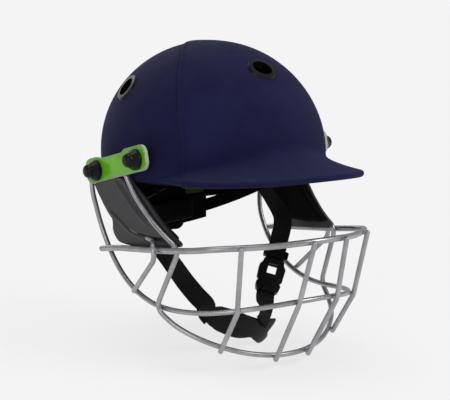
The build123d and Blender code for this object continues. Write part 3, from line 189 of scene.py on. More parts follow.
def surface(name, dark, light, patch, rough, specular, bump, others=()):
    """Principled surface. Its colour drifts between two tones over a patch size and its roughness drifts too.
    Its bump is made of layers (kind, size, depth), with sizes in metres."""
    mat = bpy.data.materials.new(name)
    mat.use_nodes = True
    t = mat.node_tree
    link = t.links.new
    shader = t.nodes["Principled BSDF"]
    shader.inputs["Specular IOR Level"].default_value = specular
    for key, value in dict(others).items():
        shader.inputs[key.replace("_", " ")].default_value = value
    place = node(t, "ShaderNodeTexCoord")
    drift = node(t, "ShaderNodeTexNoise", Scale=1 / patch, Detail=4.0, Roughness=0.6)
    link(place.outputs["Object"], drift.inputs["Vector"])
    tone = node(t, "ShaderNodeMix", data_type="RGBA")
    spread = node(t, "ShaderNodeMapRange", in_1=0.35, in_2=0.65)
    link(drift.outputs["Fac"], spread.inputs[0])
    link(spread.outputs[0], tone.inputs["Factor"])
    tone.inputs[6].default_value = srgb(*dark)
    tone.inputs[7].default_value = srgb(*light)
    link(tone.outputs[2], shader.inputs["Base Color"])
    grain = node(t, "ShaderNodeTexNoise", Scale=1 / GRAIN_SIZE, Detail=3.0)
    link(place.outputs["Object"], grain.inputs["Vector"])
    gloss = node(t, "ShaderNodeMapRange", in_1=0.3, in_2=0.7, in_3=rough[0], in_4=rough[1])
    link(grain.outputs["Fac"], gloss.inputs[0])
    link(gloss.outputs[0], shader.inputs["Roughness"])
    target = shader.inputs["Normal"]
    for kind, size, depth in reversed(bump):
        made = node(t, "ShaderNodeBump", Strength=1.0, Distance=depth)
        link(pattern(t, place, kind, size), made.inputs["Height"])
        link(made.outputs["Normal"], target)
        target = made.inputs["Normal"]
    return mat


def pattern(t, place, kind, size):
    """Height pattern of a bump layer: noise, pebble, weave or rib. The last two run along the mesh's own UV."""
    link = t.links.new
    if kind in ("noise", "pebble"):
        if kind == "noise":
            made = node(t, "ShaderNodeTexNoise", Scale=1 / size, Detail=3.0)
        else:
            made = node(t, "ShaderNodeTexVoronoi", Scale=1 / size, feature="SMOOTH_F1")
        link(place.outputs["Object"], made.inputs["Vector"])
        return made.outputs["Fac" if kind == "noise" else "Distance"]
    split = node(t, "ShaderNodeSeparateXYZ")
    link(place.outputs["UV"], split.inputs[0])
    join = node(t, "ShaderNodeMath", operation="MULTIPLY" if kind == "weave" else "ADD")
    for index in range(2):
        period = size * (RIB_STRETCH if kind == "rib" and index else 1.0)
        turn = node(t, "ShaderNodeMath", operation="MULTIPLY", in_1=2 * pi / period)
        wave = node(t, "ShaderNodeMath", operation="SINE")
        link(split.outputs[index], turn.inputs[0])
        link(turn.outputs[0], wave.inputs[0])
        link(wave.outputs[0], join.inputs[index])
    return join.outputs[0]


# Dark tone, light tone, patch size, roughness range, specular level, bump layers and other sockets
LOOKS = {
    "navy_cloth": ((20, 20, 52), (25, 25, 62), 0.05, (0.8, 0.92), 0.08,
                   [("noise", 0.035, 6e-4), ("noise", 0.0012, 6e-5), ("weave", 0.0007, 4e-5)],
                   {"Sheen_Weight": 0.03, "Sheen_Roughness": 0.5}),
    "shell_plastic": ((14, 14, 16), (20, 20, 22), 0.02, (0.5, 0.62), 0.2, [("noise", 0.0009, 4e-5)]),
    "black_plastic": ((5, 5, 6), (9, 9, 10), 0.012, (0.28, 0.4), 0.18, [("noise", 0.0007, 2e-5)]),
    # Shaded copy of the black plastic, darker and barely reflecting, for the pieces under the shell: painted shade
    "shaded_inner_plastic": ((4, 4, 5), (8, 8, 9), 0.012, (0.55, 0.7), 0.02, [("noise", 0.0007, 2e-5)]),
    "grey_plastic": ((42, 42, 44), (50, 50, 52), 0.03, (0.32, 0.44), 0.35,
                     [("noise", 0.0008, 3e-5), ("noise", 0.02, 3e-4)]),
    "green_cover": ((74, 150, 0), (104, 178, 0), 0.03, (0.18, 0.28), 0.3, [("noise", 0.004, 4e-5)],
                    {"Coat_Weight": 0.35, "Coat_Roughness": 0.08}),
    "light_plastic": ((158, 158, 160), (176, 176, 178), 0.02, (0.38, 0.5), 0.35, [("noise", 0.0009, 3e-5)]),
    "steel_wire": ((150, 148, 151), (172, 170, 173), 0.018, (0.28, 0.38), 0.5,
                   [("noise", 0.0009, 8e-6), ("noise", 0.008, 3e-5)], {"Metallic": 0.8}),
    "stud_steel": ((160, 160, 165), (180, 180, 184), 0.01, (0.25, 0.4), 0.5, [("noise", 0.0006, 3e-5)],
                   {"Metallic": 1.0}),
    "liner_foam": ((8, 8, 9), (13, 13, 14), 0.01, (0.85, 0.95), 0.06,
                   [("pebble", 0.0022, 2e-4), ("noise", 0.0006, 6e-5)]),
    "pad_fabric": ((4, 4, 5), (8, 8, 9), 0.012, (0.82, 0.95), 0.08,
                   [("noise", 0.0011, 1.2e-4), ("pebble", 0.0018, 1e-4)], {"Sheen_Weight": 0.04}),
    "webbing": ((4, 4, 5), (8, 8, 9), 0.006, (0.6, 0.75), 0.15,
                [("rib", 0.0013, 1.6e-4), ("noise", 0.0005, 4e-5)], {"Sheen_Weight": 0.04}),
    "cup_leather": ((9, 6, 6), (15, 10, 10), 0.012, (0.36, 0.5), 0.16,
                    [("pebble", 0.0016, 8e-5), ("noise", 0.008, 3e-4)]),
    "thread": ((14, 14, 16), (26, 26, 29), 0.003, (0.6, 0.7), 0.2, [("noise", 0.0004, 5e-5)]),
    # The tab's own green is laid down dark olive, with the shade inside the nape painted into it
    "green_tab": ((52, 74, 18), (66, 92, 26), 0.004, (0.6, 0.75), 0.15, [("weave", 0.0008, 8e-5)]),
}
MATERIALS = {name: surface(name, *look) for name, look in LOOKS.items()}
# Plastic pieces under the shell, where hardly any light comes: they take a darker, duller, barely reflecting copy of
# the black plastic, which is painted shade
INNER_NODES = ("band_arm_left", "band_arm_right", "rear_cradle", "dial_housing", "temple_clip_left",
               "temple_clip_right")

for subpart in frame["record"]["subparts"]:
    mesh = NODES[subpart["node"]].data
    finish = "shaded_inner_plastic" if subpart["node"] in INNER_NODES else subpart["material_slot"]
    if not mesh.materials:
        mesh.materials.append(None)
    for index in range(len(mesh.materials)):
        mesh.materials[index] = MATERIALS[finish]


def piece(name, points, faces, slot, body="helmet", uvs=None):
    """A smooth mesh piece from points in millimetres."""
    mesh = bpy.data.meshes.new(name)
    mesh.from_pydata([tuple(float(c) * MM for c in p) for p in points], [], [tuple(f) for f in faces])
    if uvs is not None:
        layer = mesh.uv_layers.new(name="UVMap")
        loops = np.zeros(len(mesh.loops), int)
        mesh.loops.foreach_get("vertex_index", loops)
        layer.data.foreach_set("uv", (np.asarray(uvs, float)[loops] * MM).ravel())
    mesh.materials.append(MATERIALS[slot])
    obj = bpy.data.objects.new(name, mesh)
    bpy.context.scene.collection.objects.link(obj)
    mesh.polygons.foreach_set("use_smooth", [True] * len(mesh.polygons))
    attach(obj, body)
    return obj


def unit(v):
    """Vectors at length one."""
    v = np.asarray(v, float)
    return v / np.maximum(np.linalg.norm(v, axis=-1, keepdims=True), 1e-12)


def smooth_line(points, steps):
    """Catmull-Rom line through points, with the values in between."""
    p = np.asarray(points, float)
    p = np.vstack([2 * p[0] - p[1], p, 2 * p[-1] - p[-2]])
    line = []
    for i in range(1, len(p) - 2):
        for s in range(steps):
            u = s / steps
            line.append(0.5 * (2 * p[i] + (p[i + 1] - p[i - 1]) * u
                               + (2 * p[i - 1] - 5 * p[i] + 4 * p[i + 1] - p[i + 2]) * u * u
                               + (3 * p[i] - p[i - 1] - 3 * p[i + 1] + p[i + 2]) * u ** 3))
    line.append(p[-2])
    return np.array(line)


def lengths(line):
    """Distance along a line at each of its points."""
    return np.concatenate([[0], np.cumsum(np.linalg.norm(np.diff(line, axis=0), axis=1))])


def read_along(line, values, want):
    """Values given at a line's points, read at distances along it."""
    s = lengths(line)
    return np.stack([np.interp(want, s, values[:, k]) for k in range(values.shape[1])], 1)


def resample(line, count):
    """A line with its points evenly spaced."""
    return read_along(line, line, np.linspace(0, lengths(line)[-1], count))


def grid_faces(rings, sides, closed=False):
    """Faces between rings of points, each ring closed on itself, and the last ring joined to the first if asked."""
    faces = []
    for i in range(rings if closed else rings - 1):
        j = (i + 1) % rings
        for k in range(sides):
            m = (k + 1) % sides
            faces.append((i * sides + k, i * sides + m, j * sides + m, j * sides + k))
    return faces


def end_faces(rings, sides):
    """The two end faces of open rings."""
    return [tuple(range(sides - 1, -1, -1)), tuple((rings - 1) * sides + k for k in range(sides))]


def shifted(faces, first):
    """Faces with their points counted from a later one."""
    return [tuple(first + k for k in face) for face in faces]


def ribbon(name, line, across, normal, profile, slot, body="helmet", closed=False):
    """Profile points (across, out) swept along a line with a frame at each point."""
    count, sides = len(line), len(profile)
    points = [line[i] + across[i] * a + normal[i] * o for i in range(count) for a, o in profile]
    around = lengths(np.asarray(profile, float))
    uvs = [(run, turn) for run in lengths(line) for turn in around]
    faces = grid_faces(count, sides, closed) + ([] if closed else end_faces(count, sides))
    return piece(name, points, faces, slot, body, uvs)


# Cloth cover, in millimetres
HALF_WIDTH, HALF_LENGTH, RISE, WIDEST_Z, TAPER = 105.0, 127.0, 111.0, 22.0, 160.0
PEAK_Y, PEAK_HALF_WIDTH, PEAK_LENGTH = -70.0, 98.0, 115.0
PEAK_THICKNESS, PEAK_ROUND, PEAK_OVERHANG = 6.0, 3.0, 1.0
PEAK_LOW, PEAK_ARCH, PEAK_RISE, PEAK_SLOPE, PEAK_END = 10.4, 8.5, 23.0, radians(16.0), radians(109.0)
RIM_FRONT_Z, RIM_ARC = 1.0, 50.0
# Where the rim's level, round, sloping and round parts end, from front to back
RIM_PARTS = (-9.5, 17.26, 53.55, 71.9)
RIM_LOW, RIM_REAR_ARC = (62.0, -35.0), (80.27, 12.6)
TEMPLE_SLOPE, NAPE_SLOPE = 0.6316, 0.1692
DOME_ROWS, TOP_ROWS, NOSE_ROWS, UNDER_ROWS, RIM_ROWS = 64, 14, 8, 12, 22
COLUMNS, PEAK_END_COLUMNS = np.linspace(-180, 180, 241)[:-1], np.arange(78.75, 106, 1.5)
VENTS = ((0.0, -79.5), (80.0, 33.5), (-80.0, 33.5))
VENT_RADIUS, VENT_CUT, VENT_DEPTH = 12.0, 12.4, 14.0
# Seam in plan, as shares of the half width and length, and how the front panel rises towards it
SEAM_SHARES = ((0.0, 0.20), (0.24, 0.09), (0.51, -0.165), (0.65, -0.29), (0.78, -0.44), (0.84, -0.56), (0.93, -0.66))
SEAM_RAISE, SEAM_SPREAD, SEAM_TOP_Z = 1.4, 16.0, 132.0
# Where the seam leaves the dome, its step down to the peak, and how low the dome's own normals hold
SEAM_LEAVES, SEAM_STEP, DOME_LOW_Z, STITCH_LOW_Z = 0.9985, 1.2, 20, 26
SEAM_POINTS, UV_RADIUS = 420, 90.0


def dome_reach(angle, z):
    """Distance from the peak's centre line to the dome at a height, along a ray."""
    level = 1 - ((z - WIDEST_Z) / (RISE if z > WIDEST_Z else TAPER)) ** 2
    s, c = sin(angle) / HALF_WIDTH, cos(angle) / HALF_LENGTH
    square = s * s + c * c
    linear = cos(angle) * -PEAK_Y / HALF_LENGTH ** 2
    rest = (PEAK_Y / HALF_LENGTH) ** 2 - level
    inside = linear * linear - square * rest
    return (-linear + sqrt(max(inside, 0))) / square


def dome_top(x, y):
    """Height of the dome at a place in plan."""
    rest = 1 - (x / HALF_WIDTH) ** 2 - (y / HALF_LENGTH) ** 2
    return WIDEST_Z + RISE * sqrt(max(rest, 0))


def dome_out(points, rise=RISE):
    """Outward directions of the dome at places on it."""
    return unit((np.asarray(points, float) - [0, 0, WIDEST_Z]) / [HALF_WIDTH ** 2, HALF_LENGTH ** 2, rise ** 2])


def rim_z(y):
    """Height of the rim at a place from front to back."""
    level, round_front, slope, round_rear = RIM_PARTS
    low_y, low_z = RIM_LOW
    if y < level:
        return RIM_FRONT_Z
    if y < round_front:
        return RIM_FRONT_Z - RIM_ARC + sqrt(RIM_ARC ** 2 - (y - level) ** 2)
    if y < slope:
        return low_z + (low_y - y) * TEMPLE_SLOPE
    if y < round_rear:
        return RIM_REAR_ARC[1] - sqrt(RIM_ARC ** 2 - (y - RIM_REAR_ARC[0]) ** 2)
    return low_z - NAPE_SLOPE * (y - low_y)


def place(angle, reach, z):
    """Point on a ray of the fan."""
    return np.array([reach * sin(angle), PEAK_Y - reach * cos(angle), z])


def peak_shape(angle):
    """Slice through the peak: reach of its root and edge, low face's height, where it leaves the dome, its bend."""
    across, ahead = sin(angle), cos(angle)
    root = dome_reach(angle, WIDEST_Z)
    if ahead > 0:
        edge = 1 / sqrt((across / PEAK_HALF_WIDTH) ** 2 + (ahead / PEAK_LENGTH) ** 2)
    else:
        edge = PEAK_HALF_WIDTH / max(abs(across), 1e-3)
    low = PEAK_LOW - PEAK_ARCH * min((edge * across / PEAK_HALF_WIDTH) ** 2, 1.0)
    top = low + PEAK_THICKNESS
    rise = PEAK_RISE * max(0.25, 0.35 + 0.65 * ahead)
    bend = top + min(max(edge - root, 0) * tan(PEAK_SLOPE), rise / 2)
    return root, edge, low, top + rise, bend


def peak_top(angle, shares):
    """Reach and height at shares of the peak's upper face, from the dome to its rounded edge."""
    root, edge, low, leave, bend = peak_shape(angle)
    a = np.array([dome_reach(angle, leave), leave])
    b = np.array([root + PEAK_OVERHANG, bend])
    c = np.array([edge - PEAK_ROUND, low + PEAK_THICKNESS])
    return [(1 - u) ** 2 * a + 2 * u * (1 - u) * b + u * u * c for u in shares]


def peak_nose(angle, turn):
    """Reach and height at a turn round the peak's edge, from its upper face to its low one."""
    edge, low = peak_shape(angle)[1:3]
    return edge - PEAK_ROUND + PEAK_ROUND * sin(turn), low + PEAK_ROUND + PEAK_ROUND * cos(turn)


def cover_column(angle):
    """Outer face of the cloth in one upright plane, from above the peak's centre down to the rim."""
    root, edge, low, leave, bend = peak_shape(angle)
    column = []

    def over(turn):
        r = root * sin(turn)
        column.append(place(angle, r, dome_top(*place(angle, r, 0)[:2])))

    if leave > WIDEST_Z:
        start = dome_reach(angle, leave)
        low_turn = asin(min(start / root, 1.0))
        for i in range(DOME_ROWS):
            over(low_turn * i / (DOME_ROWS - 1))
        column[-1] = place(angle, start, leave)
    else:
        wall = WIDEST_Z - leave
        curved = root * pi / 2 * 0.9
        upper = int(round((DOME_ROWS - 1) * curved / (curved + wall)))
        for i in range(upper):
            over(pi / 2 * i / upper)
        column.append(place(angle, root, WIDEST_Z))
        for i in range(1, DOME_ROWS - upper):
            z = WIDEST_Z - wall * i / (DOME_ROWS - 1 - upper)
            column.append(place(angle, dome_reach(angle, z), z))

    def keep(r, z):
        column.append(place(angle, max(r, dome_reach(angle, z)), z))

    nose = [peak_nose(angle, pi * i / NOSE_ROWS) for i in range(1, NOSE_ROWS + 1)]
    if abs(angle) < PEAK_END:
        for r, z in peak_top(angle, [i / TOP_ROWS for i in range(1, TOP_ROWS + 1)]) + nose:
            keep(r, z)
        inner = dome_reach(angle, low)
        for i in range(1, UNDER_ROWS + 1):
            u = i / UNDER_ROWS
            keep((edge - PEAK_ROUND) * (1 - u) + inner * u, low)
    else:
        for i in range(1, TOP_ROWS + 1):
            keep(0, leave + (low + PEAK_THICKNESS - leave) * i / TOP_ROWS)
        for r, z in nose:
            keep(0, z)
        for i in range(UNDER_ROWS):
            keep(0, low)
    end = rim_end(angle, low, 6)
    for i in range(1, RIM_ROWS + 1):
        z = low + (end - low) * i / RIM_ROWS
        column.append(place(angle, dome_reach(angle, z), z))
    return column


def rim_end(angle, z, tries):
    """Height of the rim on a ray, closed in on from a first height."""
    for _ in range(tries):
        z = rim_z(place(angle, dome_reach(angle, z), 0)[1])
    return z


def seam_plan():
    """Left half of the seam in plan, from the crown to the peak's edge."""
    left = [(x * HALF_WIDTH, y * HALF_LENGTH) for x, y in SEAM_SHARES]
    whole = [(-x, y) for x, y in reversed(left[1:])] + left
    line = smooth_line(whole, 24)
    return line[len(line) // 2:]


def fan_angle(x, y):
    """Which ray of the fan a place in plan is on."""
    return atan2(x, -(y - PEAK_Y))


def fan_reach(x, y):
    """How far along its ray a place in plan is."""
    return sqrt(x * x + (y - PEAK_Y) ** 2)


def seam_line():
    """Left half of the seam on the cloth: crown, down the dome, over the peak's end and down to the rim."""
    plan = seam_plan()
    inside = (plan[:, 0] / HALF_WIDTH) ** 2 + (plan[:, 1] / HALF_LENGTH) ** 2
    leaves = int(np.argmax(inside > SEAM_LEAVES))
    line = [(x, y, dome_top(x, y)) for x, y in plan[:leaves]]
    foot = fan_angle(*plan[leaves])
    z = line[-1][2]
    while z > peak_shape(foot)[3] + 1.0:
        z -= SEAM_STEP
        line.append(tuple(place(foot, dome_reach(foot, z), z)))
    top, under = [], []
    for x, y in plan[leaves:]:
        angle, reach = fan_angle(x, y), fan_reach(x, y)
        edge, low = peak_shape(angle)[1:3]
        if reach > edge - PEAK_ROUND:
            break
        samples = np.array(peak_top(angle, np.linspace(0, 1, 40)))
        order = np.argsort(samples[:, 0])
        top.append(place(angle, reach, float(np.interp(reach, samples[order, 0], samples[order, 1]))))
        under.append(place(angle, reach, low))
    nose = [place(angle, *peak_nose(angle, turn)) for turn in np.linspace(0.15, pi - 0.15, 9)]
    line += [tuple(p) for p in top + nose + under[::-1]]
    for z in np.linspace(peak_shape(foot)[2], RIM_FRONT_Z, 3):
        line.append(tuple(place(foot, dome_reach(foot, z), z)))
    return np.array(line)


SEAM = seam_line()
SEAM_PLAN = seam_plan()
SEAM_ANGLES = np.array([fan_angle(x, y) for x, y in SEAM_PLAN])
SEAM_REACH = np.array([fan_reach(x, y) for x, y in SEAM_PLAN])
# The whole seam from rim to rim
WHOLE_SEAM = np.vstack([(SEAM * [-1, 1, 1])[::-1], SEAM[1:]])


def is_front(x, y):
    """Whether a place in plan is ahead of the seam."""
    angle = abs(fan_angle(x, y))
    if angle < SEAM_ANGLES.min():
        return True
    order = np.argsort(SEAM_ANGLES)
    return fan_reach(x, y) < np.interp(angle, SEAM_ANGLES[order], SEAM_REACH[order])


def cover():
    """The cloth's whole outer face as points, faces and places on the flat cloth."""
    extra = np.radians(PEAK_END_COLUMNS)
    angles = np.sort(np.concatenate([np.radians(COLUMNS), extra, -extra]))
    grid = np.array([cover_column(a) for a in angles])
    columns, rows = grid.shape[:2]
    points = grid.reshape(-1, 3)
    starts = [(i * rows, (i + 1) % columns * rows) for i in range(columns)]
    faces = [(a + k, a + k + 1, b + k + 1, b + k) for a, b in starts for k in range(rows - 1)]
    spread = np.concatenate([lengths(column) for column in grid])
    uvs = np.stack([np.repeat(angles * UV_RADIUS, rows), spread], 1)
    return points, np.array(faces), uvs


def off_axis(points, centre, normal):
    """Depths along an axis and offsets across it."""
    depth = (points - centre) @ normal
    return depth, points - centre - depth[:, None] * normal


def trimmed(points, faces):
    """The cloth with its vents cut out and their edges drawn onto true circles."""
    centres = points[faces].mean(1)
    keep = np.ones(len(faces), bool)
    moved = points.copy()
    for x, y in VENTS:
        centre = np.array([x, y, dome_top(x, y)])
        normal = dome_out(centre)
        depth, flat = off_axis(centres, centre, normal)
        inside = (np.linalg.norm(flat, axis=1) < VENT_CUT) & (np.abs(depth) < VENT_DEPTH)
        keep &= ~inside
        ring = np.intersect1d(faces[inside].ravel(), faces[~inside].ravel())
        depth, flat = off_axis(moved[ring], centre, normal)
        moved[ring] = centre + unit(flat) * VENT_RADIUS + depth[:, None] * normal
    return moved, faces[keep]


def cloth_cover():
    """Front panel and two side panels, stretched over the shell."""
    points, faces, uvs = cover()
    points, faces = trimmed(points, faces)
    centres = points[faces].mean(1)
    front = np.array([is_front(x, y) for x, y, z in centres])
    border = np.intersect1d(faces[front].ravel(), faces[~front].ravel())
    both = np.vstack([SEAM, SEAM * [-1, 1, 1]])
    for index in border:
        if points[index][2] < SEAM_TOP_Z:
            gap = np.linalg.norm(both - points[index], axis=1)
            points[index] = both[int(gap.argmin())]
    seam_gap = np.array([np.linalg.norm(both - p, axis=1).min() for p in points])
    out = normals(points, faces)
    raised = points + out * (SEAM_RAISE * np.exp(-(seam_gap / SEAM_SPREAD) ** 2))[:, None]
    parts = {}
    for name, mask, places in (("front", front, raised), ("left", ~front & (centres[:, 0] > 0), points),
                               ("right", ~front & (centres[:, 0] <= 0), points)):
        used, inverse = np.unique(faces[mask].ravel(), return_inverse=True)
        node_name = "front_cloth_panel" if name == "front" else f"side_cloth_panel_{name}"
        obj = piece(f"cloth_{name}", places[used], inverse.reshape(-1, 4), "navy_cloth", uvs=uvs[used])
        merge(obj, 0.00008)
        thicken(obj, CLOTH_THICKNESS)
        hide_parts(node_name)
        parts[name] = obj
    return parts


def normals(points, faces):
    """Outward normals at the points of a mesh."""
    a, b, c, d = (points[faces[:, k]] for k in range(4))
    flat = np.cross(c - a, d - b)
    total = np.zeros_like(points)
    for k in range(4):
        np.add.at(total, faces[:, k], flat)
    total = unit(total)
    total[(total * (points - [0, -10, 0])).sum(1) < 0] *= -1
    return total


def merge(obj, distance=0.00001):
    """Join points that lie together and turn the faces one way."""
    bm = bmesh.new()
    bm.from_mesh(obj.data)
    bmesh.ops.remove_doubles(bm, verts=bm.verts, dist=distance)
    bmesh.ops.dissolve_degenerate(bm, edges=bm.edges, dist=distance / 2)
    bmesh.ops.recalc_face_normals(bm, faces=bm.faces)
    probe = max(bm.faces, key=lambda f: f.calc_center_median().length)
    if probe.normal.dot(probe.calc_center_median()) < 0:
        bmesh.ops.reverse_faces(bm, faces=bm.faces)
    for face in bm.faces:
        face.smooth = True
    bm.to_mesh(obj.data)
    bm.free()


def thicken(obj, amount):
    """Give a sheet its thickness, inwards."""
    made = obj.modifiers.new("thickness", "SOLIDIFY")
    made.thickness = amount
    made.offset = -1.0
    made.use_rim = True


CLOTH_THICKNESS = 0.0009
CLOTH = cloth_cover()


def seam_fold():
    """The folded edge of the front panel, a soft lip along the whole seam."""
    line = resample(WHOLE_SEAM, SEAM_POINTS)
    run = unit(np.gradient(line, axis=0))
    out = dome_out(line)
    for i, p in enumerate(line):
        if p[2] <= DOME_LOW_Z:
            out[i] = np.cross(run[i], (0.0, -1.0, 0.0))
            if out[i] @ (p - np.array([0, PEAK_Y, 6.0])) < 0:
                out[i] = -out[i]
    out = unit(out)
    for _ in range(12):
        out[1:-1] = unit(out[:-2] + out[1:-1] * 2 + out[2:])
    out = unit(out - run * (out * run).sum(1, keepdims=True))
    back = np.cross(run, out)
    back[back[:, 1] < 0] *= -1
    profile = [(-2.6, 1.30), (-1.4, 1.50), (-0.3, 1.52), (0.5, 1.32), (0.95, 0.85), (0.95, 0.30), (0.5, -0.25),
               (-1.0, -0.4)]
    merge(ribbon("cloth_seam_fold", line, back, out, profile, "navy_cloth"), 0.00002)


seam_fold()


# A stitch's places along its length and widths there
STITCH = ((-0.5, 0.0), (-0.42, 0.8), (-0.2, 1.0), (0.2, 1.0), (0.42, 0.8), (0.5, 0.0))
STITCH_SIDES = 6


def stitch_row(name, marks, runs, outs, length, radius, body, slot="webbing"):
    """Row of short stitches lying on a surface, as one piece."""
    points, faces = [], []
    stitch = grid_faces(len(STITCH), STITCH_SIDES) + end_faces(len(STITCH), STITCH_SIDES)
    for mark, run, out in zip(marks, runs, outs):
        side = np.cross(run, out)
        faces += shifted(stitch, len(points))
        for step, wide in STITCH:
            for k in range(STITCH_SIDES):
                turn = 2 * pi * k / STITCH_SIDES
                points.append(mark + run * step * length
                              + (out * sin(turn) + side * cos(turn)) * max(wide, 0.05) * radius)
    obj = piece(name, points, faces, "thread", body)
    return obj


def along_line(line, outs, pitch):
    """Evenly spaced marks along a line, with their runs and outward directions."""
    total = lengths(line)[-1]
    count = max(int(total / pitch), 2)
    want = (np.arange(count) + 0.5) * total / count
    runs = unit(read_along(line, np.gradient(line, axis=0), want))
    return read_along(line, line, want), runs, unit(read_along(line, outs, want))


# How far in and up the tape's hem runs, and its stitches
HEM_IN, HEM_UP = 5.05, 2.6
HEM_PITCH, HEM_STITCH, HEM_THREAD = 3.4, 2.3, 0.28
RIM_POINTS = 421


def rim_binding():
    """Tape folded round the rim, from the cloth's edge to a hem inside the shell."""
    line = []
    for angle in np.radians(np.linspace(-180, 180, 361)[:-1]):
        end = rim_end(angle, RIM_FRONT_Z, 8)
        line.append(place(angle, dome_reach(angle, end), end))
    line = np.array(line)
    line = resample(np.vstack([line, line[:1]]), RIM_POINTS)[:-1]
    out = dome_out(line, TAPER)
    run = unit(np.roll(line, -1, axis=0) - np.roll(line, 1, axis=0))
    out = unit(out - run * (out * run).sum(1, keepdims=True))
    up = np.cross(out, run)
    up[up[:, 2] < 0] *= -1
    profile = [(-0.05, 0.25), (-0.5, 0.2), (-0.85, -0.4), (-0.95, -2.4), (-0.85, -4.5), (-0.3, -5.0), (1.2, -5.0),
               (4.1, -HEM_IN), (4.4, -4.75), (4.1, -4.35), (0.3, -4.2), (0.0, -3.9), (-0.02, -0.3)]
    obj = ribbon("rim_tape", line, up, out, profile, "pad_fabric", closed=True)
    merge(obj)
    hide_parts("rim_binding")
    marks, runs, outs = along_line(line + up * HEM_UP - out * HEM_IN, -out, HEM_PITCH)
    stitch_row("rim_stitches", marks, runs, outs, HEM_STITCH, HEM_THREAD, "helmet", "pad_fabric")


rim_binding()


# How far ahead of the fold and above the shell its stitches lie, and their size
FOLD_AHEAD, FOLD_UP, FOLD_PITCH, FOLD_STITCH, FOLD_THREAD = 3.6, 1.42, 3.0, 2.0, 0.2


def seam_stitches():
    """Row of stitches ahead of the front panel's fold, on the dome only."""
    line = resample(WHOLE_SEAM, SEAM_POINTS)
    line = line[line[:, 2] > STITCH_LOW_Z]
    out = dome_out(line)
    back = np.cross(unit(np.gradient(line, axis=0)), out)
    back[back[:, 1] < 0] *= -1
    marks, runs, outs = along_line(line - back * FOLD_AHEAD + out * FOLD_UP, out, FOLD_PITCH)
    obj = stitch_row("seam_stitches", marks, runs, outs, FOLD_STITCH, FOLD_THREAD, "helmet", "navy_cloth")
    obj.data.materials[0] = MATERIALS["navy_cloth"]


seam_stitches()


# Chin strap: section of the webbing, as places across it and out of it
STRAP_PROFILE = [
    (-9.5, 0.0), (-9.3, 0.55), (-8.7, 0.85), (-7.9, 0.70), (-4.0, 0.74), (0.0, 0.72), (4.0, 0.74), (7.9, 0.70),
    (8.7, 0.85), (9.3, 0.55), (9.5, 0.0), (9.3, -0.55), (8.7, -0.85), (7.9, -0.70), (0.0, -0.72), (-7.9, -0.70),
    (-8.7, -0.85), (-9.3, -0.55)]
STRAP_SEAT, STRAP_STEP = 1.7, 2.2
# Radius and height of the pressed ring at a strap's end
EYE_PROFILE = [
    (3.85, -0.75), (4.3, -1.0), (5.6, -1.05), (6.4, -0.8), (8.9, -0.8), (9.4, -0.4), (9.5, 0.0), (9.4, 0.4),
    (8.9, 0.8), (6.4, 0.8), (5.6, 1.05), (4.3, 1.0), (3.85, 0.75)]
EYE_STEPS = 48
BOX_POINTS, BOX_HALF_WIDTH, BOX_UP, BOX_PITCH, BOX_STITCH, BOX_THREAD = 4, 7.6, 0.78, 2.3, 1.7, 0.22
REAR_STUD, EYE_X, EYE_FLAT = (35.906, 7.381), 91.18, 0.9
BUCKLE_TOP = np.array([67.9, -17.5, -97.7])
BUCKLE_DOWN = unit([-0.527, -0.272, -0.805])
BUCKLE_FACE = unit([-0.43, -0.732, 0.529])
CUP = np.array([0.0, -22.0, -146.5])
BOWL = np.array([70.0, 27.0, 42.0])


def cup_place(x, z):
    """Where a strap lies on the chin cup's outer face."""
    size = BOWL + STRAP_SEAT
    rest = 1 - (x / size[0]) ** 2 - ((z - CUP[2]) / size[2]) ** 2
    return np.array([x, CUP[1] - size[1] * sqrt(rest), z])


def cup_out(point):
    """Which way the chin cup's outer face looks."""
    return unit((point - CUP) / BOWL ** 2)


def webbing(name, node_name, route, faces, eye_side=0):
    """Flat webbing along a route that faces a given way at each point, with its eye at the swivel."""
    route, face = smooth_line(route, 9), smooth_line(faces, 9)
    total = lengths(route)[-1]
    want = np.linspace(0, total, max(int(total / STRAP_STEP), 8))
    line, face = read_along(route, route, want), read_along(route, face, want)
    run = unit(np.gradient(line, axis=0))
    across = unit(np.cross(run, unit(face)))
    normal = np.cross(across, run)
    normal[(normal * face).sum(1) < 0] *= -1
    obj = ribbon(name, line, across, normal, STRAP_PROFILE, "webbing", "chin_strap")
    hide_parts(node_name)
    if eye_side:
        eye(f"{name}_eye", eye_side)
    return line, across, normal


def eye(name, side):
    """Round end of a strap with its pressed rim and hole."""
    points = []
    for i in range(EYE_STEPS):
        turn = 2 * pi * i / EYE_STEPS
        for radius, out in EYE_PROFILE:
            points.append((side * (EYE_X + out * EYE_FLAT), REAR_STUD[0] + radius * cos(turn),
                           REAR_STUD[1] + radius * sin(turn)))
    obj = piece(name, points, grid_faces(EYE_STEPS, len(EYE_PROFILE), closed=True), "webbing", "chin_strap")
    merge(obj)


def box_stitches(name, line, across, normal):
    """Sewn box with a cross in it, on the front of a strap near its end."""
    start, end = len(line) - 1 - BOX_POINTS, len(line) - 1
    middle, side, out = line[start:end], across[start:end] * BOX_HALF_WIDTH, normal[start:end]
    rows = [(middle - side, out), (middle + side, out)]
    for at in (start, end - 1):
        ends = np.array([line[at] - across[at] * BOX_HALF_WIDTH, line[at] + across[at] * BOX_HALF_WIDTH])
        rows.append((resample(ends, 12), np.repeat(normal[at:at + 1], 12, axis=0)))
    for way in (1, -1):
        rows.append((middle + side * np.linspace(-1, 1, BOX_POINTS)[:, None] * way, out))
    parts = zip(*(along_line(row + face * BOX_UP, face, BOX_PITCH) for row, face in rows))
    stitch_row(name, *(np.vstack(part) for part in parts), BOX_STITCH, BOX_THREAD, "chin_strap")


def buckle_place(down):
    """Point on the buckle's middle line."""
    return BUCKLE_TOP + BUCKLE_DOWN * down


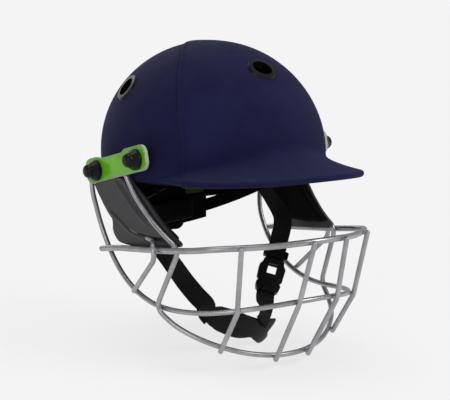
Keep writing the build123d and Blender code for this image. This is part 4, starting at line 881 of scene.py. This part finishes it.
RIGHT_SEW = [cup_place(x, z) for x, z in ((-41, -132), (-37, -138))]
LEFT_SEW = [cup_place(x, z) for x, z in ((29.5, -147), (25, -151))]
right_line = webbing(
    "strap_right", "right_strap",
    [(-EYE_X, 31.906, 3.381), (-88, 32, -16), (-88, 15, -33), (-87, -5, -50), (-81, -26, -68), (-70, -31, -85),
     (-59, -34, -101), (-51, -41, -114), (-44, -47, -124)] + RIGHT_SEW,
    [(-1, 0, 0), (-1, 0, 0), (-1, -0.1, 0), (-0.95, -0.3, 0), (-0.85, -0.5, 0.1), (-0.8, -0.6, 0.15),
     (-0.75, -0.65, 0.2), (-0.65, -0.75, 0.2), (-0.6, -0.8, 0.2)] + [cup_out(p) for p in RIGHT_SEW], -1)
webbing(
    "strap_left_upper", "left_upper_strap",
    [(EYE_X, 31.906, 3.381), (88, 32, -16), (87.5, 12, -35), (86, -7, -50), (83.5, -12.5, -61),
     (79.8, -12.6, -74)] + [buckle_place(down) for down in (-14, -6, 1.5)],
    [(-1, 0, 0), (-1, 0, 0), (-0.95, -0.25, -0.1), (-0.8, -0.6, 0.1), (-0.62, -0.75, 0.3),
     (-0.5, -0.76, 0.42)] + [BUCKLE_FACE] * 3, 1)
lower_line = webbing(
    "strap_left_lower", "left_lower_strap",
    [buckle_place(31.5), buckle_place(38), (42, -34.5, -134), (35.5, -43, -140.8)] + LEFT_SEW,
    [BUCKLE_FACE, BUCKLE_FACE, (-0.3, -0.8, 0.48), (0.12, -0.94, 0.22)] + [cup_out(p) for p in LEFT_SEW])
box_stitches("strap_stitches_right", *right_line)
box_stitches("strap_stitches_left", *lower_line)


# Padding is swollen by a cloth simulation and held where it lies on its seat
SWELL_STEPS, QUICK_SHARE = 20, 0.6
SWELL = {"quality": 4, "mass": 0.1, "tension_stiffness": 10.0, "compression_stiffness": 10.0,
         "bending_stiffness": 0.3, "use_pressure": True, "uniform_pressure_force": 4.0}


def settled(obj):
    """Take the modifiers' result as the piece's own mesh."""
    graph = bpy.context.evaluated_depsgraph_get()
    mesh = bpy.data.meshes.new_from_object(obj.evaluated_get(graph))
    obj.modifiers.clear()
    obj.data = mesh


def vertex_values(mesh, kind):
    """Vertex places (co) or normals of a mesh as an array."""
    values = np.zeros(len(mesh.vertices) * 3)
    mesh.vertices.foreach_get(kind, values)
    return values.reshape(-1, 3)


def padding(name, node_name, voxel, cap, seat, body="helmet", slot="pad_fabric", shrink=0.0004):
    """Padded copy of a CAD solid, swollen up to a cap except towards its seat, a function of place and normal."""
    source = NODES[node_name]
    mesh = source.data.copy()
    mesh.transform(source.matrix_world)
    obj = bpy.data.objects.new(name, mesh)
    bpy.context.scene.collection.objects.link(obj)
    remesh = obj.modifiers.new("remesh", "REMESH")
    remesh.mode = "VOXEL"
    remesh.voxel_size = voxel
    settled(obj)
    flat, out = vertex_values(obj.data, "co"), vertex_values(obj.data, "normal")
    held = np.array([seat(p / MM, n) for p, n in zip(flat, out)])
    start = flat - out * shrink * (~held)[:, None]
    obj.data.vertices.foreach_set("co", start.ravel())
    obj.data.update()
    cloth = obj.modifiers.new("swell", "CLOTH")
    for key, value in SWELL.items():
        setattr(cloth.settings, key, value)
    cloth.settings.effector_weights.gravity = 0.0
    cloth.point_cache.frame_start = 1
    cloth.point_cache.frame_end = SWELL_STEPS
    for step in range(1, SWELL_STEPS + 1):
        bpy.context.scene.frame_set(step)
    graph = bpy.context.evaluated_depsgraph_get()
    swollen = vertex_values(obj.evaluated_get(graph).to_mesh(), "co")
    obj.modifiers.clear()
    bpy.context.scene.frame_set(1)
    move = swollen - start
    far = np.linalg.norm(move, axis=1, keepdims=True)
    move *= np.minimum(1.0, cap / np.maximum(far, 1e-9))
    move[held] = 0.0
    obj.data.vertices.foreach_set("co", (start + move).ravel())
    obj.data.update()
    smooth = obj.modifiers.new("smooth", "SMOOTH")
    smooth.factor = 0.5
    smooth.iterations = 2
    finer = obj.modifiers.new("finer", "SUBSURF")
    finer.levels = finer.render_levels = 1
    settled(obj)
    obj.data.materials.clear()
    obj.data.materials.append(MATERIALS[slot])
    obj.data.polygons.foreach_set("use_smooth", [True] * len(obj.data.polygons))
    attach(obj, body)
    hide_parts(node_name)


def from_dome(point, normal):
    """Whether a face looks out towards the shell."""
    return bool(normal @ unit(point - [0, 0, 10.0]) > 0.35)


for pad in ("brow_pad", "crown_pad", "side_pad_left", "side_pad_right"):
    padding(f"{pad}_cushion", pad, 0.0024, 0.0022, from_dome)
padding("ear_pad_left_cushion", "ear_pad_left", 0.0020, 0.0009, lambda p, n: n[0] > 0.3)
padding("ear_pad_right_cushion", "ear_pad_right", 0.0020, 0.0009, lambda p, n: n[0] < -0.3)
padding("cradle_cushion", "cradle_pad", 0.0016, 0.0012, lambda p, n: n[1] > 0.2, "fit_band")
padding("cup_lining_cushion", "chin_cup_lining", 0.0009, 0.0006, lambda p, n: n[1] < -0.2, "chin_strap",
        shrink=0.0)
padding("cup_shell", "chin_cup", 0.0010, 0.0005, lambda p, n: n[1] > 0.2, "chin_strap", "cup_leather",
        shrink=0.0)


# Ear guards: their own plane, the ridge on it and the moulding over the wire's end
EAR_MIDDLE, EAR_LENGTH, EAR_HEIGHT, EAR_FACE = (107.0, 0.0, 0.0), 88.0, 63.0, 4.6
EAR_LEAN_Y, EAR_LEAN_Z = 0.080, 0.083
EAR_OUT = unit([1.0, -EAR_LEAN_Y, -EAR_LEAN_Z])
EAR_FORWARD = unit([-EAR_LEAN_Y, -1.0, 0.0])
EAR_DOWN = np.cross(EAR_OUT, EAR_FORWARD)
EAR_RIDGE = ((-0.103, 0.02), (-0.011, 0.131), (0.17, 0.379), (0.30, 0.52), (0.42, 0.65))
RIDGE_PROFILE = [(-6.5, 0.0), (-4.2, 0.35), (-1.6, 1.15), (-0.4, 1.7), (0.4, 1.65), (1.2, 0.8), (2.2, 0.0)]
RIDGE_POINTS = 44
SLEEVE_PLACES = [(19.8, -33.0), (9.0, -38.8), (-12.6, -50.7), (-40.5, -53.6)]
SLEEVE_OUT, SLEEVE_RADIUS, SLEEVE_SIDES = 2.8, (3.3, 3.2), 14


def ear_ridge(side, label):
    """Ridge on one ear guard's panel, low at its ends."""
    mirror = [side, 1, 1]
    out = EAR_OUT * mirror
    marks = [(EAR_MIDDLE + EAR_FORWARD * ahead * EAR_LENGTH + EAR_DOWN * down * EAR_HEIGHT + EAR_OUT * EAR_FACE)
             * mirror for ahead, down in EAR_RIDGE]
    line = resample(smooth_line(marks, 12), RIDGE_POINTS)
    across = unit(np.cross(unit(np.gradient(line, axis=0)), out))
    steps = np.arange(RIDGE_POINTS)
    taper = np.minimum(1.0, np.minimum(steps, steps[::-1]) / 5.0)
    height = out * (0.25 + 0.75 * taper[:, None])
    merge(ribbon(f"ear_ridge_{label}", line, across, height, RIDGE_PROFILE, "grey_plastic"))


def wire_sleeve(side, label):
    """Moulding over the end of the cheek wire, from the panel's rear edge to the wire's bend."""
    marks = [((EAR_MIDDLE[0] + EAR_LEAN_Z * z + EAR_LEAN_Y * y + SLEEVE_OUT) * side, y, z) for y, z in SLEEVE_PLACES]
    line = resample(smooth_line(marks, 10), 40)[:34]
    run = unit(np.gradient(line, axis=0))
    across = unit(np.cross(run, EAR_OUT * [side, 1, 1]))
    out = np.cross(across, run)
    out[(out[:, 0] * side) < 0] *= -1
    wide, high = SLEEVE_RADIUS
    turns = [2 * pi * k / SLEEVE_SIDES for k in range(SLEEVE_SIDES)]
    profile = [(wide * cos(turn) * (1.25 if sin(turn) < 0 else 1.0), high * sin(turn)) for turn in turns]
    merge(ribbon(f"wire_sleeve_{label}", line, across, out, profile, "grey_plastic"))


for ear_side, ear_label in ((1, "left"), (-1, "right")):
    ear_ridge(ear_side, ear_label)
    wire_sleeve(ear_side, ear_label)


# Weld beads: how near two wires come, how far beads stay apart, both in metres, and a bead's size in millimetres
WELD_REACH, BEAD_APART = 0.0012, 0.012
BEAD_RADIUS, BEAD_HEIGHT, BEAD_RINGS, BEAD_SIDES = 2.3, 1.3, 7, 12
BARS = ("top_bar", "middle_bar", "lower_bar")


def world_faces(name):
    """A node's vertices and faces in the frame."""
    source = NODES[name]
    places = [source.matrix_world @ v.co for v in source.data.vertices]
    return places, [tuple(p.vertices) for p in source.data.polygons]


def edge_samples(name):
    """Points along a node's edges, closer together than the reach of a weld."""
    places = np.array([tuple(p) for p in world_faces(name)[0]])
    found = [places]
    for edge in NODES[name].data.edges:
        a, b = places[list(edge.vertices)]
        count = int(np.linalg.norm(b - a) / WELD_REACH)
        if count > 1:
            share = np.linspace(0, 1, count)[1:-1, None]
            found.append(a * (1 - share) + b * share)
    return np.vstack(found)


def crossings(name, samples):
    """Where a wire all but touches a bar, given by points on the bar, and the way from one to the other."""
    places, polygons = world_faces(name)
    tree = BVHTree.FromPolygons(places, polygons)
    low, high = np.min(places, axis=0) - 0.002, np.max(places, axis=0) + 0.002
    near = []
    for point in samples[((samples > low) & (samples < high)).all(axis=1)]:
        hit = tree.find_nearest(Vector(point))
        if hit[0] is not None and hit[3] < WELD_REACH:
            near.append((hit[3], np.array(hit[0]), point))
    near.sort(key=lambda item: item[0])
    found = []
    for _, there, here in near:
        middle = (there + here) / 2
        if all(np.linalg.norm(middle - other) > BEAD_APART for other, _ in found):
            found.append((middle, unit(there - here + 1e-9)))
    return found


def weld_beads():
    """Small beads of weld at each crossing of two wires."""
    samples_of = {bar: edge_samples(bar) for bar in BARS}
    wires = [f"{kind}_{side}" for kind in ("inner_upright", "outer_upright", "cheek_wire") for side in SIDES]
    bead = grid_faces(BEAD_RINGS, BEAD_SIDES) + end_faces(BEAD_RINGS, BEAD_SIDES)
    points, faces = [], []
    for middle, way in [found for wire in wires for bar in BARS for found in crossings(wire, samples_of[bar])]:
        side = unit(np.cross(way, [0.3, 0.5, 0.81]))
        third = np.cross(way, side)
        first = len(points)
        faces += shifted(bead, first)
        for i in range(1, BEAD_RINGS + 1):
            tilt = pi * i / (BEAD_RINGS + 1)
            for k in range(BEAD_SIDES):
                turn = 2 * pi * k / BEAD_SIDES
                wave = 1.0 + 0.06 * sin(3 * turn + first)
                points.append(middle / MM + way * cos(tilt) * BEAD_HEIGHT
                              + (side * cos(turn) + third * sin(turn)) * sin(tilt) * BEAD_RADIUS * wave)
    piece("weld_beads", points, faces, "steel_wire")


weld_beads()


# Green cloth tab inside the nape: its corners, its way in, its thickness and its flat size
TAB_CORNERS = np.array([(33, 90.8, -27.2), (49, 79, -28.2), (48.4, 78.2, -34.2), (33, 89.2, -35.4)])
TAB_IN = unit([-0.48, -0.86, 0.15])
TAB_GAP, TAB_THICKNESS, TAB_SWELL, TAB_ROWS, TAB_SIZE = 0.6, 0.7, 0.5, 8, (16.0, 7.0)


def nape_tab():
    """Small woven tab sewn to the liner's rear edge."""
    a, b, c, d = TAB_CORNERS
    n = TAB_ROWS + 1
    points, faces, uvs = [], [], []
    for layer in (0.0, TAB_THICKNESS):
        for i in range(n):
            for k in range(n):
                u, v = i / TAB_ROWS, k / TAB_ROWS
                spot = (a * (1 - u) + b * u) * (1 - v) + (d * (1 - u) + c * u) * v
                points.append(spot + TAB_IN * (layer + TAB_GAP + TAB_SWELL * sin(pi * u) * sin(pi * v)))
                uvs.append((u * TAB_SIZE[0], v * TAB_SIZE[1]))
    for i in range(TAB_ROWS):
        for k in range(TAB_ROWS):
            near = i * n + k
            faces += [(at, at + 1, at + n + 1, at + n) for at in (near, near + n * n)]
    edge = list(range(n)) + [i * n + TAB_ROWS for i in range(1, n)]
    edge += [TAB_ROWS * n + k for k in range(TAB_ROWS - 1, -1, -1)] + [i * n for i in range(TAB_ROWS - 1, 0, -1)]
    for p, q in zip(edge, edge[1:] + edge[:1]):
        faces.append((p, q, q + n * n, p + n * n))
    merge(piece("nape_tab", points, faces, "green_tab", uvs=uvs))


nape_tab()


# Lining cloth between the liner and the fit band: half width and length of its ring, its edge above the rim's
# line, and how much higher its low edge runs where the dial moves in under it
LINING_X, LINING_Y, LINING_TOP = 84.7, 99.2, 4.6
DIAL_NOTCH, NOTCH_HALF_WIDTH = 3.2, 8.0
BAND_ENDS = ((-26.0, -0.5), (98.0, -57.5))
# Where the side strips start and end and the nape strip ends, and how far over the band they stop
SIDE_FROM_Y, SIDE_TO_Y, NAPE_FROM_Y, SIDE_DROP, NAPE_DROP = 49.0, -27.0, 83.0, 2.5, 8.0
LINING_ROWS, LINING_THICKNESS, LINING_BOW, LINING_RIPPLE = 7, 0.0007, 0.5, 0.25


def band_z(y):
    """Middle height of the fit band from front to back."""
    (front, high), (back, low) = BAND_ENDS
    return high + (low - high) * (y - front) / (back - front)


def lining_strip(name, turns, drop):
    """Strip of lining cloth round the outside of the fit band, at turns counted from the back."""
    grid = []
    for turn in turns:
        x, y = LINING_X * sin(turn), LINING_Y * cos(turn)
        top, low = rim_z(y) + LINING_TOP, band_z(y) + drop + DIAL_NOTCH * np.exp(-(x / NOTCH_HALF_WIDTH) ** 2)
        grid.append([(x, y, z) for z in np.linspace(top, low, LINING_ROWS)])
    grid = np.array(grid)
    bow = np.sin(np.linspace(0, pi, LINING_ROWS)) * LINING_BOW
    ripple = 1 + np.sin(np.linspace(0, 9 * pi, len(turns))) * LINING_RIPPLE
    outward = unit(grid * [1 / LINING_X ** 2, 1 / LINING_Y ** 2, 0])
    grid = grid - outward * (bow[None, :, None] * ripple[:, None, None])
    run = lengths(grid[:, 0])
    faces = [(a, a + LINING_ROWS, a + LINING_ROWS + 1, a + 1)
             for a in range((len(turns) - 1) * LINING_ROWS) if (a + 1) % LINING_ROWS]
    uvs = [(run[i], down) for i in range(len(turns)) for down in lengths(grid[i])]
    obj = piece(name, grid.reshape(-1, 3), faces, "pad_fabric", uvs=uvs)
    thicken(obj, LINING_THICKNESS)


SIDE_TURNS = np.linspace(np.arccos(SIDE_FROM_Y / LINING_Y), np.arccos(SIDE_TO_Y / LINING_Y), 40)
NAPE_TURN = np.arccos(NAPE_FROM_Y / LINING_Y)
lining_strip("lining_left", SIDE_TURNS, SIDE_DROP)
lining_strip("lining_right", -SIDE_TURNS, SIDE_DROP)
lining_strip("lining_nape", np.linspace(-NAPE_TURN, NAPE_TURN, 50), NAPE_DROP)


def soften(names, width):
    """Narrow bevel along the sharp edges of moulded pieces."""
    for name in names:
        edge = NODES[name].modifiers.new("soften", "BEVEL")
        edge.width = width
        edge.segments = 2
        edge.limit_method = "ANGLE"
        edge.angle_limit = radians(40)
        edge.use_clamp_overlap = True


soften([f"ear_guard_{side}" for side in SIDES], 0.0007)
soften([f"{name}_{side}" for name in ("side_cover", "side_plate") for side in SIDES], 0.0003)
soften(["buckle_socket", "buckle_plug", "strap_slider"], 0.0005)
